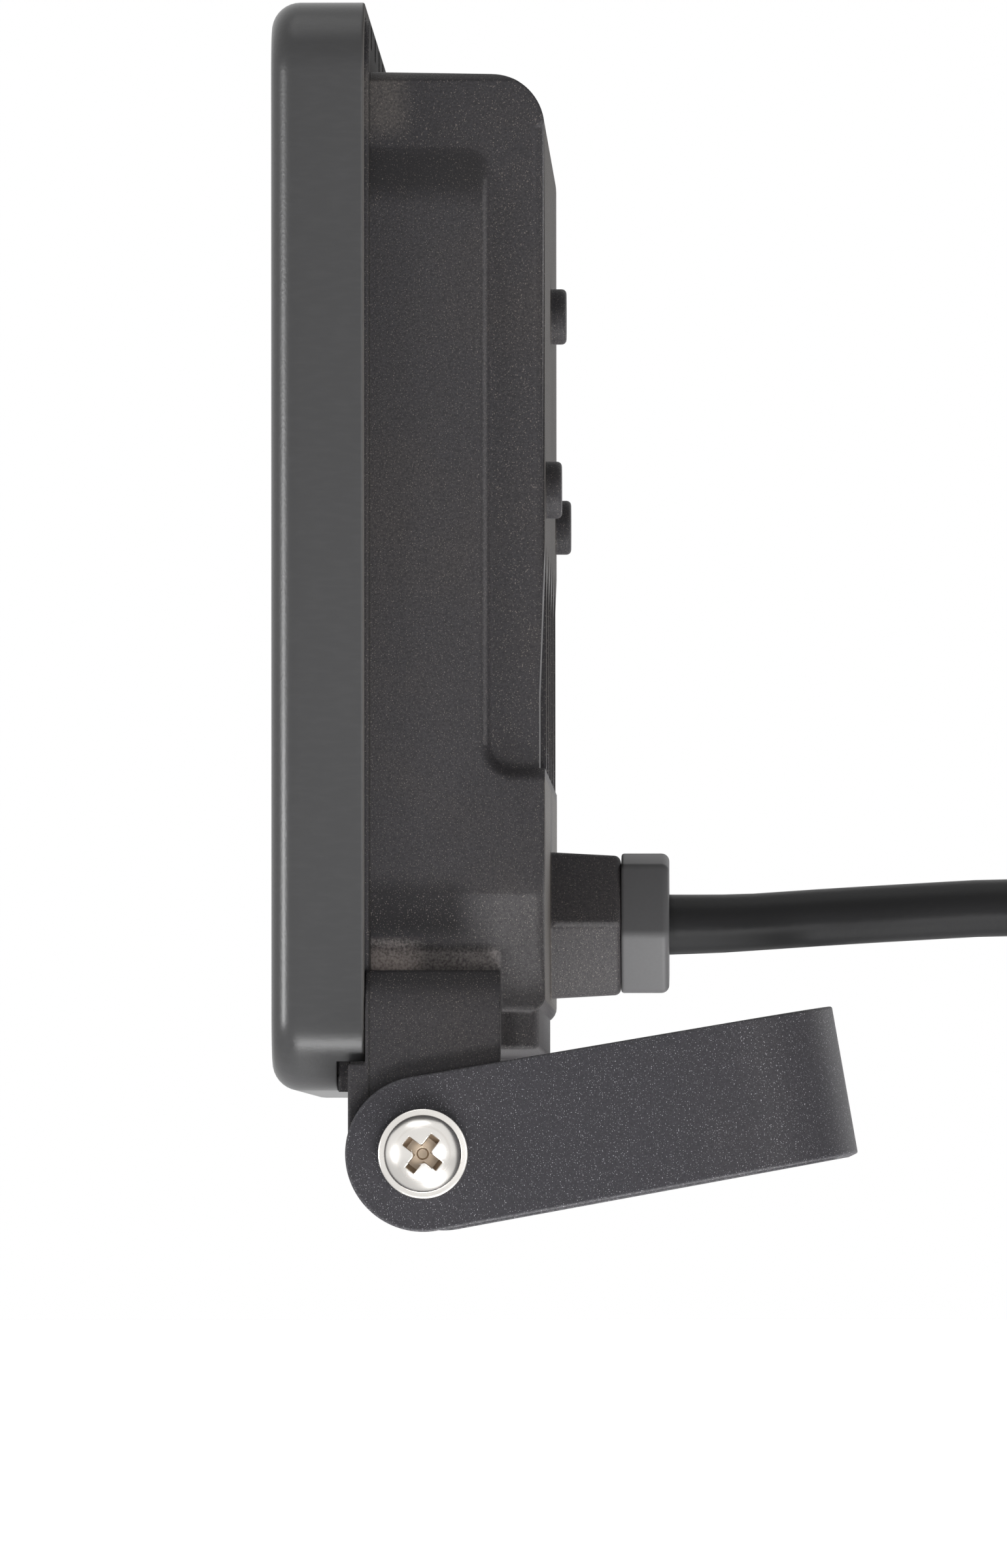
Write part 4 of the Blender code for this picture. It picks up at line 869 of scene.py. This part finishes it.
def reliefCutter(v, panel):
    # what lies round the raised side panel, down to the lower level of the side
    level = v["half"] - panel["step"]
    raised = block("raised", (level - 8, -30, -30), (level, v["back"] + 3, panel["shoulder"]))
    sliceAt(raised, (0, panel["back"], 0), (0, 1, 0))
    pickFaces(raised, lambda c, n: n.z > 0.9 and c.y < panel["back"])
    extrude(0, 0, panel["top"] - panel["shoulder"])
    done()
    openWhole(raised)
    bpy.ops.mesh.dissolve_limited(angle_limit=math.radians(meshCare["flat"]))
    done()
    roundEdges(raised, alongX(panel["back"], panel["top"]), panel["round"], 8)
    roundEdges(raised, alongX(panel["back"], panel["shoulder"]), panel["shoulderRound"], 8)
    rings = [(wide, tall * panel["step"]) for wide, tall in panel["rings"]]
    top = panel["top"]
    pickFaces(raised, lambda c, n: n.x > 0.9)
    for wide, tall in rings:
        bpy.ops.mesh.inset(thickness=wide * mm, depth=tall * mm)
    extrude(12, 0, 0)
    done()
    # the panel's top end is a longer ramp: each level's upper points move down by its share
    rise = level
    for wide, tall in rings:
        rise += tall
        share = min(1, (rise - level) / panel["step"])
        last = (wide, tall) == rings[-1]
        movePoints(raised, lambda p: p.z > panel["shoulder"] + 20
                   and (near(p.x, rise) or (last and p.x > rise)), (0, 0, -panel["ramp"] * share))
    cutter = block("relief", (level, -40, -40), (v["half"] + 6, v["back"] + 8, top + 40))
    return combine(cutter, raised)


def makeStud(v, place, back):
    tip = back + v["height"]
    middle = (place[0], tip - v["height"] / 2 - 0.5, place[1])
    stud = rod("stud", middle, v["radius"], v["height"] + 1, "Y", 48)
    roundRim(stud, 1, tip, v["round"], 4)
    return stud


def makeEar(v, edges, sign):
    back, face, top = v["back"], v["face"], v["top"]
    rampFoot = top - v["topRamp"]
    ear = block("ear", (v["root"], -30, -30), (face, back + 20, top))
    # the upper end leans back to the housing
    sliceAt(ear, (0, 0, rampFoot), (0, 0, 1))
    movePoints(ear, lambda p: near(p.z, top) and near(p.x, face), (-v["topChamfer"], 0, 0))
    combine(ear, block("clear", (v["root"] - 5, -40, -40), (v["inner"], back + 30, v["rootLow"])))
    side = rod("earSide", (face - 5, 0.1, 0), v["round"], 40, "X", 96)
    shank = block("shank", (face - 25, v["front"], 0), (face + 15, back, v["step"]))
    upper = block("upper", (face - 25, v["upperFront"], v["step"] - 1), (face + 15, back, top + 5))
    fuse(side, shank, upper)
    combine(ear, side, operation="INTERSECT")
    combine(ear, rod("earHole", (face, 0, 0), v["hole"], 40, "X", 48))
    softenEdges(ear, edges["earEdge"], 3, 40)
    roundEdges(ear, lambda a, b: abs(a.z - rampFoot) < 0.05 and abs(b.z - rampFoot) < 0.05
               and min(a.x, b.x) > face - 0.5, edges["earCrease"], 6)
    return ear if sign > 0 else mirrored(ear)


def makeGlandBoss(v, back):
    across = v["flat"] / math.sqrt(3)
    tip = back + v["length"]
    middle = (0, (back - 0.5 + tip) / 2, v["height"])
    boss = rod("boss", middle, across, tip - back + 0.5, "Y", 6, math.pi / 6)
    roundEdges(boss, alongY, v["round"], 5)
    pickFaces(boss, lambda c, n: n.y > 0.9)
    share = 1 - 2 * v["taper"] / v["flat"]
    bpy.ops.transform.resize(value=(share, 1, share))
    done()
    roundRim(boss, 1, tip, v["round"], 5)
    root = v["neckLength"] + v["length"] / 2
    middle = (0, tip - v["length"] / 2 + root / 2, v["height"])
    return fuse(boss, rod("glandNeck", middle, v["neckRadius"], root, "Y"))


def makeBackValleys(v, box):
    # shallow valleys between the ribs of the back, which fade out upwards
    over = 1.0
    low = v["valley"]["low"]
    deep = box["back"] - v["ribs"]["depth"]
    high = low + v["ribs"]["height"] + v["ribs"]["fade"] * (v["ribs"]["depth"] + over) / v["ribs"]["depth"]
    half = (v["ribs"]["count"] - 1) / 2
    centres = [(i - half) * v["ribs"]["pitch"] for i in range(v["ribs"]["count"])]
    starts = [-box["half"] - over] + [c + v["ribs"]["width"] / 2 for c in centres]
    ends = [c - v["ribs"]["width"] / 2 for c in centres] + [box["half"] + over]
    valleys = []
    for start, end in zip(starts, ends):
        valley = block("valley", (start, deep, low), (end, box["back"] + over, high))
        movePoints(valley, lambda p: near(p.z, high) and near(p.y, deep),
                   (0, 0, low + v["ribs"]["height"] - high))
        valleys.append(valley)
    return valleys


def makeHousing(v):
    box, flange, edges = v["box"], v["flange"], v["edges"]
    shell = frontPrism("housing", box, box["back"] + 2)
    combine(shell, sidePrism("sideShape", box, box["half"] + 5), operation="INTERSECT")
    relief = reliefCutter(box, v["panel"])
    combine(shell, mirrored(relief, keep=True), relief)
    roundEdges(shell, lambda a, b: a.y > box["back"] - 0.05 and b.y > box["back"] - 0.05
               and min(abs(a.x), abs(b.x)) > box["foot"] - 1 and abs(a.z - b.z) > abs(a.x - b.x) + 0.5,
               box["backRound"], 5)
    roundEdges(shell, lambda a, b: near(a.z, box["low"]) and near(b.z, box["low"])
               and min(abs(a.x), abs(b.x)) > box["foot"] - 0.1 and not near(a.y, b.y), edges["low"], 4)
    plate = block("flange", flange["low"], flange["high"])
    roundEdges(plate, alongY, flange["corner"], 12)
    roundRim(plate, 1, flange["high"][1], flange["rearRound"], 3)
    half, back, low = v["neck"]["half"], v["neck"]["back"], v["neck"]["low"]
    neck = block("neck", (-half, flange["high"][1] - 0.5, low), (half, back, box["low"] + 1))
    roundEdges(neck, alongZ(back), edges["neckBack"], 8)
    roundRim(neck, 2, low, edges["neckLow"], 4)
    fuse(shell, plate, neck)
    fuse(shell, makeEar(v["ear"], edges, 1), makeEar(v["ear"], edges, -1))
    web = v["web"]
    for sign in (1, -1):
        ends = sorted((sign * web["inner"], sign * web["outer"]))
        fuse(shell, block("web", (ends[0], web["front"], web["low"]), (ends[1], web["back"], web["high"])))
    combine(shell, *makeBackValleys(v, box))
    for place in v["studs"]:
        fuse(shell, makeStud(v["stud"], place, box["back"]))
    fuse(shell, makeGlandBoss(v["gland"], box["back"]))
    print("housing outside made")

    hollow = v["hollow"]
    window = v["window"]
    inside = frontPrism("hollow", hollow, hollow["back"])
    fuse(inside, block("window", (-window["half"], flange["low"][1] - 2, window["low"]),
                       (window["half"], hollow["front"] + 1, window["high"])))
    combine(shell, inside)
    gland = v["gland"]
    combine(shell, rod("bore", (0, box["back"] + 6, gland["height"]), gland["bore"], 40, "Y"))
    boss = v["boss"]
    for across, up, top in v["bosses"]:
        low, high = top, hollow["back"] + 1
        fuse(shell, rod("boss", (across, (low + high) / 2, up), boss["radius"], high - low, "Y", 32))
        deep = min(boss["depth"], hollow["back"] - top)
        combine(shell, rod("bossHole", (across, top + deep / 2 - 1, up), boss["hole"], deep + 2, "Y", 24))
    # a notch for each clip, wider behind the flange's front where its hook lies
    clip = bezelValues["clip"]
    gap = clip["gap"]
    reach = clip["half"] + gap
    for place, edgeZ, inwards in clipPlaces(bezelValues):
        for extra, floor in ((gap, flange["low"][1] - 1), (gap + clip["hook"], clip["back"])):
            ends = sorted((edgeZ, edgeZ + inwards * (clip["inset"] + clip["thick"] + extra)))
            combine(shell, block("clipNotch", (place - reach, floor, ends[0]),
                                 (place + reach, flange["high"][1] + 0.4, ends[1])))
    seatPiece(shell, "head", "housing_coat", ["housing"], triangles=True)


makeHousing(housingValues)
print("housing made")


# Bracket: a bent flat bar with round arm ends and two slots in its base
bracketValues = {
    "inner": 80.7,
    "outer": 82.7,
    "reach": 52.2,
    "halfWidth": 9.15,
    "endRadius": 9.5,
    "outerBend": 13.0,
    "innerBend": 11.0,
    "bendSteps": 24,
    "slot": {"place": 30.0, "length": 12.0, "width": 6.5},
    "screwHole": 2.8,
    "edge": 0.28,
}


def makeBracket(v):
    outer, inner, reach, half = v["outer"], v["inner"], v["reach"], v["halfWidth"]
    thick = outer - inner
    bar = block("bracket", (-outer, -20, -20), (outer, reach, 20))
    roundEdges(bar, alongZ(reach), v["outerBend"], v["bendSteps"])
    inside = block("inside", (-inner, -30, -30), (inner, reach - thick, 30))
    roundEdges(inside, alongZ(reach - thick), v["innerBend"], v["bendSteps"])
    combine(bar, inside)
    outline = rod("armEnds", (0, 0, 0), v["endRadius"], 4 * outer, "X", 128)
    sides = block("armSides", (-outer - 5, 0, -half), (outer + 5, reach - 0.5, half))
    for sign in (-1, 1):
        movePoints(sides, lambda p: near(p.y, 0) and near(p.z, sign * half),
                   (0, 0, sign * (v["endRadius"] - half)))
    fuse(sides, block("baseSides", (-outer - 5, reach - 1, -half), (outer + 5, reach + 5, half)))
    fuse(outline, sides)
    combine(bar, outline, operation="INTERSECT")
    slot = v["slot"]
    for sign in (-1, 1):
        middle = sign * slot["place"]
        cut = block("slot", (middle - slot["length"] / 2, reach - 10, -slot["width"] / 2),
                    (middle + slot["length"] / 2, reach + 10, slot["width"] / 2))
        roundEdges(cut, alongY, slot["width"] / 2 - 0.05, 16)
        combine(bar, cut)
    combine(bar, rod("screwHoles", (0, 0, 0), v["screwHole"], 3 * outer, "X", 48))
    softenEdges(bar, v["edge"])
    seatPiece(bar, "bracket", "bracket_coat", ["bracket"], place=bracketPlace)


makeBracket(bracketValues)
print("bracket made")


# Screws with domed heads and cross recesses, on flat washers
screwValues = {
    "seat": 84.3,
    "tip": 72.8,
    "thread": 2.5,
    "threadPitch": 0.8,
    "threadDepth": 0.3,
    "tipTaper": 0.6,
    "tipLength": 0.5,
    "dome": [(4.75, 0.0), (4.75, 0.55), (4.68, 0.9), (4.5, 1.3), (4.2, 1.75), (3.7, 2.25), (3.0, 2.7),
             (2.2, 2.98), (1.2, 3.15), (0.4, 3.2)],
    "edge": 0.09,
    "recess": {"turn": 52, "span": 6.0, "arm": 1.35, "depth": 1.9, "foot": 4.0, "core": 1.2, "coreFoot": 0.6},
}
washerValues = {"inner": 2.8, "outer": 5.5, "seat": 83.0, "thick": 1.0, "round": 0.28}


def turned(name, profile, sides=96):
    # a solid of rings along the X axis: each ring is a radius and a height
    clearSelection()
    radius, height = profile[0]
    bpy.ops.mesh.primitive_circle_add(vertices=sides, radius=radius * mm, fill_type="NGON",
                                      location=(0, 0, height * mm))
    piece = bpy.context.object
    piece.name = name
    bpy.ops.object.transform_apply()
    openWhole(piece)
    for (wide, low), (wideNext, lowNext) in zip(profile, profile[1:]):
        extrude(0, 0, lowNext - low)
        bpy.ops.transform.resize(value=(wideNext / wide, wideNext / wide, 1))
    done()
    piece.data.transform(Matrix.Rotation(math.pi / 2, 4, "Y"))
    openWhole(piece)
    bpy.ops.mesh.normals_make_consistent(inside=False)
    done()
    return piece


def shifted(piece, x, y, z):
    piece.data.transform(Matrix.Translation(Vector((x, y, z)) * mm))
    return piece


def taperedArm(v, top):
    low = top - v["depth"]
    arm = block("recessArm", (low, -v["span"] / 2, -v["arm"] / 2), (top + 0.6, v["span"] / 2, v["arm"] / 2))
    narrower = (v["span"] - v["foot"]) / 2
    for sign in (1, -1):
        movePoints(arm, lambda p: near(p.x, low) and p.y * sign > 0, (0, -sign * narrower, 0))
    return arm


def makeScrew(v):
    top = v["seat"] + v["dome"][-1][1]
    head = shifted(turned("screw", v["dome"]), v["seat"], 0, 0)
    recess = v["recess"]
    first = taperedArm(recess, top)
    second = taperedArm(recess, top)
    second.data.transform(Matrix.Rotation(math.pi / 2, 4, "X"))
    core = shifted(turned("recessCore", [(recess["coreFoot"], 0), (recess["core"], recess["depth"] + 0.5),
                                         (recess["core"] * 1.5, recess["depth"] + 1.6)], 32),
                   top - recess["depth"] - 0.5, 0, 0)
    fuse(first, second, core)
    first.data.transform(Matrix.Rotation(math.radians(recess["turn"]), 4, "X"))
    combine(head, first)
    softenEdges(head, v["edge"], 2, 40)
    place = v["tip"]
    rings = [(v["thread"] - v["tipTaper"], place)]
    place += v["tipLength"]
    while place < v["seat"] - v["threadPitch"]:
        rings.append((v["thread"] - v["threadDepth"], place))
        rings.append((v["thread"], place + v["threadPitch"] * 0.5))
        place += v["threadPitch"]
    rings.append((v["thread"] - v["threadDepth"], v["seat"] + 0.3))
    return fuse(head, turned("shank", rings, 40))


def makeWasher(v):
    disc = rod("washer", (v["seat"] + v["thick"] / 2, 0, 0), v["outer"], v["thick"], "X", 96)
    combine(disc, rod("washerHole", (v["seat"], 0, 0), v["inner"], 6 * v["thick"], "X"))
    softenEdges(disc, v["round"], 4, 40)
    return disc


for side in ("right", "left"):
    pairs = [(makeScrew(screwValues), "screw"), (makeWasher(washerValues), "washer")]
    for piece, kind in pairs:
        node = "tilt_" + kind + "_" + side
        low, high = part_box(node)
        if low[0] + high[0] < 0:  # both are made for the positive side
            piece = mirrored(piece)
        piece.name = "tilt" + kind.capitalize() + side.capitalize()
        seatPiece(piece, "head", slotOfNode[node], [node])
print("screws made")


# Gland nut: a hexagon turned a little, rounded at its edges and its outer rim, with a flared mouth
nutValues = {
    "height": 29.3,
    "start": 23.65,
    "end": 29.7,
    "flat": 16.5,
    "turn": 10.0,
    "edge": 0.7,
    "rim": 1.0,
    "inner": 0.35,
    "mouth": 4.3,
    "mouthRound": 0.3,
    "bore": 6.9,
    "lip": 1.6,
}


def makeNut(v):
    across = v["flat"] / math.sqrt(3)
    middle = (0, (v["start"] + v["end"]) / 2, v["height"])
    nut = rod("glandNut", middle, across, v["end"] - v["start"], "Y", 6, math.radians(30 + v["turn"]))
    roundEdges(nut, alongY, v["edge"], 5)
    roundRim(nut, 1, v["end"], v["rim"], 6)
    roundRim(nut, 1, v["start"], v["inner"], 3)
    combine(nut, rod("nutMouth", middle, v["mouth"], 3 * v["flat"], "Y"))
    low = v["start"] - 1
    high = v["end"] - v["lip"]
    combine(nut, rod("nutBore", (0, (low + high) / 2, v["height"]), v["bore"], high - low, "Y"))
    roundEdges(nut, lambda a, b: near(a.y, v["end"]) and near(b.y, v["end"])
               and math.hypot(a.x, a.z - v["height"]) < v["mouth"] + 0.1, v["mouthRound"], 3)
    seatPiece(nut, "head", "nut_plastic", ["gland_nut"])


makeNut(nutValues)
print("nut made")


# Studio: white surroundings, soft lamps and a pale floor that throws light up
studioValues = {
    "skySide": 0.12,
    "skyTop": 0.0,
    "floorDrop": 0.004,
    "floorRadius": 30,
    "paleFrom": 0.8,
    "paleTo": 4.0,
    "paleNear": 0.60,
    "paleFar": 0.97,
    "bounce": 0.30,
    "aim": (0, -0.05, 0.0),
    "lamps": [
        {"name": "frontLamp", "place": (0.80, -1.9, -0.03), "size": (0.42, 0.36), "power": 16},
        {"name": "sideLamp", "place": (2.3, 1.3, 0.0), "size": (0.8, 0.8), "power": 15},
        {"name": "bounceLamp", "place": (1.55, -0.15, -1.30), "size": (0.9, 0.6), "power": 9},
        {"name": "rearLamp", "place": (-1.45, 1.45, 0.0), "size": (0.4, 0.4), "power": 5.5},
        {"name": "lowLamp", "place": (0.40, 0.7, -1.6), "size": (0.9, 0.9), "power": 58},
        {"name": "nearLamp", "place": (0.27, -0.03, -0.190), "size": (0.22, 0.07), "power": 0.74},
        {"name": "topLamp", "place": (0.3, -0.4, 2.2), "size": (1.4, 1.4), "power": 7, "floor": True},
    ],
}


def seenDirectly(ray):
    # seen by the camera, by mirroring faces or through glass
    seen = ray("Is Camera Ray")
    for kind in ("Is Glossy Ray", "Is Transmission Ray"):
        seen = seen.math("MAXIMUM", seen, ray(kind))
    return seen


def makeStudio(v):
    world = bpy.data.worlds.new("studio")
    bpy.context.scene.world = world
    world.use_nodes = True
    tree = world.node_tree
    shade = tree.nodes["Background"]
    paths = tree.nodes.new("ShaderNodeLightPath")
    seen = seenDirectly(lambda kind: Wire(tree, paths.outputs[kind]))
    toward = tree.nodes.new("ShaderNodeSeparateXYZ")
    tree.links.new(tree.nodes.new("ShaderNodeTexCoord").outputs["Generated"], toward.inputs["Vector"])
    sky = v["skySide"] + (v["skyTop"] - v["skySide"]) * Wire(tree, toward.outputs["Z"]).above(0.0, 0.7)
    tree.links.new((seen + (1 - seen) * sky).socket, shade.inputs["Strength"])
    shade.inputs["Color"].default_value = (1, 1, 1, 1)
    objectOnly = bpy.data.collections.new("objectOnly")  # most lamps leave the floor out
    for lamp in v["lamps"]:
        data = bpy.data.lights.new(lamp["name"], "AREA")
        data.shape = "RECTANGLE"
        data.size, data.size_y = lamp["size"]
        data.energy = lamp["power"]
        obj = bpy.data.objects.new(lamp["name"], data)
        bpy.context.scene.collection.objects.link(obj)
        obj.location = lamp["place"]
        aim = Vector(v["aim"]) - Vector(lamp["place"])
        obj.rotation_euler = aim.to_track_quat("-Z", "Y").to_euler()
        obj.visible_camera = False
        if not lamp.get("floor"):
            obj.light_linking.receiver_collection = objectOnly
    clearSelection()
    low = cadBox[0]
    bpy.ops.mesh.primitive_circle_add(vertices=96, radius=v["floorRadius"], fill_type="NGON",
                                      location=(0, 0, low.z - v["floorDrop"]))
    floor = bpy.context.object
    floor.name = "floor"
    floor.visible_shadow = False
    made = Finish("floorPaper", (0.9, 0.9, 0.9))
    cloud = made.noise(3, detail=3)
    made.set(Base_Color=made.mix(cloud, (0.86, 0.86, 0.86), (0.90, 0.90, 0.90)), Roughness=0.7)
    paths = made.node("ShaderNodeLightPath")
    seen = seenDirectly(paths.out)
    away = made.node("ShaderNodeVectorMath", {"operation": "LENGTH"}, Vector=made.place).out("Value")
    white = seen * (v["paleNear"] + away.above(v["paleFrom"], v["paleTo"]) * (v["paleFar"] - v["paleNear"]))
    bounced = paths.out("Is Diffuse Ray") * v["bounce"]
    made.set(Emission_Color=made.mix(white + bounced, (0, 0, 0), (1, 1, 1)), Emission_Strength=1.0)
    floor.data.materials.append(made.material)
    objectOnly.objects.link(floor)
    objectOnly.collection_objects[0].light_linking.link_state = "EXCLUDE"


makeStudio(studioValues)
bpy.context.scene.view_settings.view_transform = "Standard"
print("studio lit")
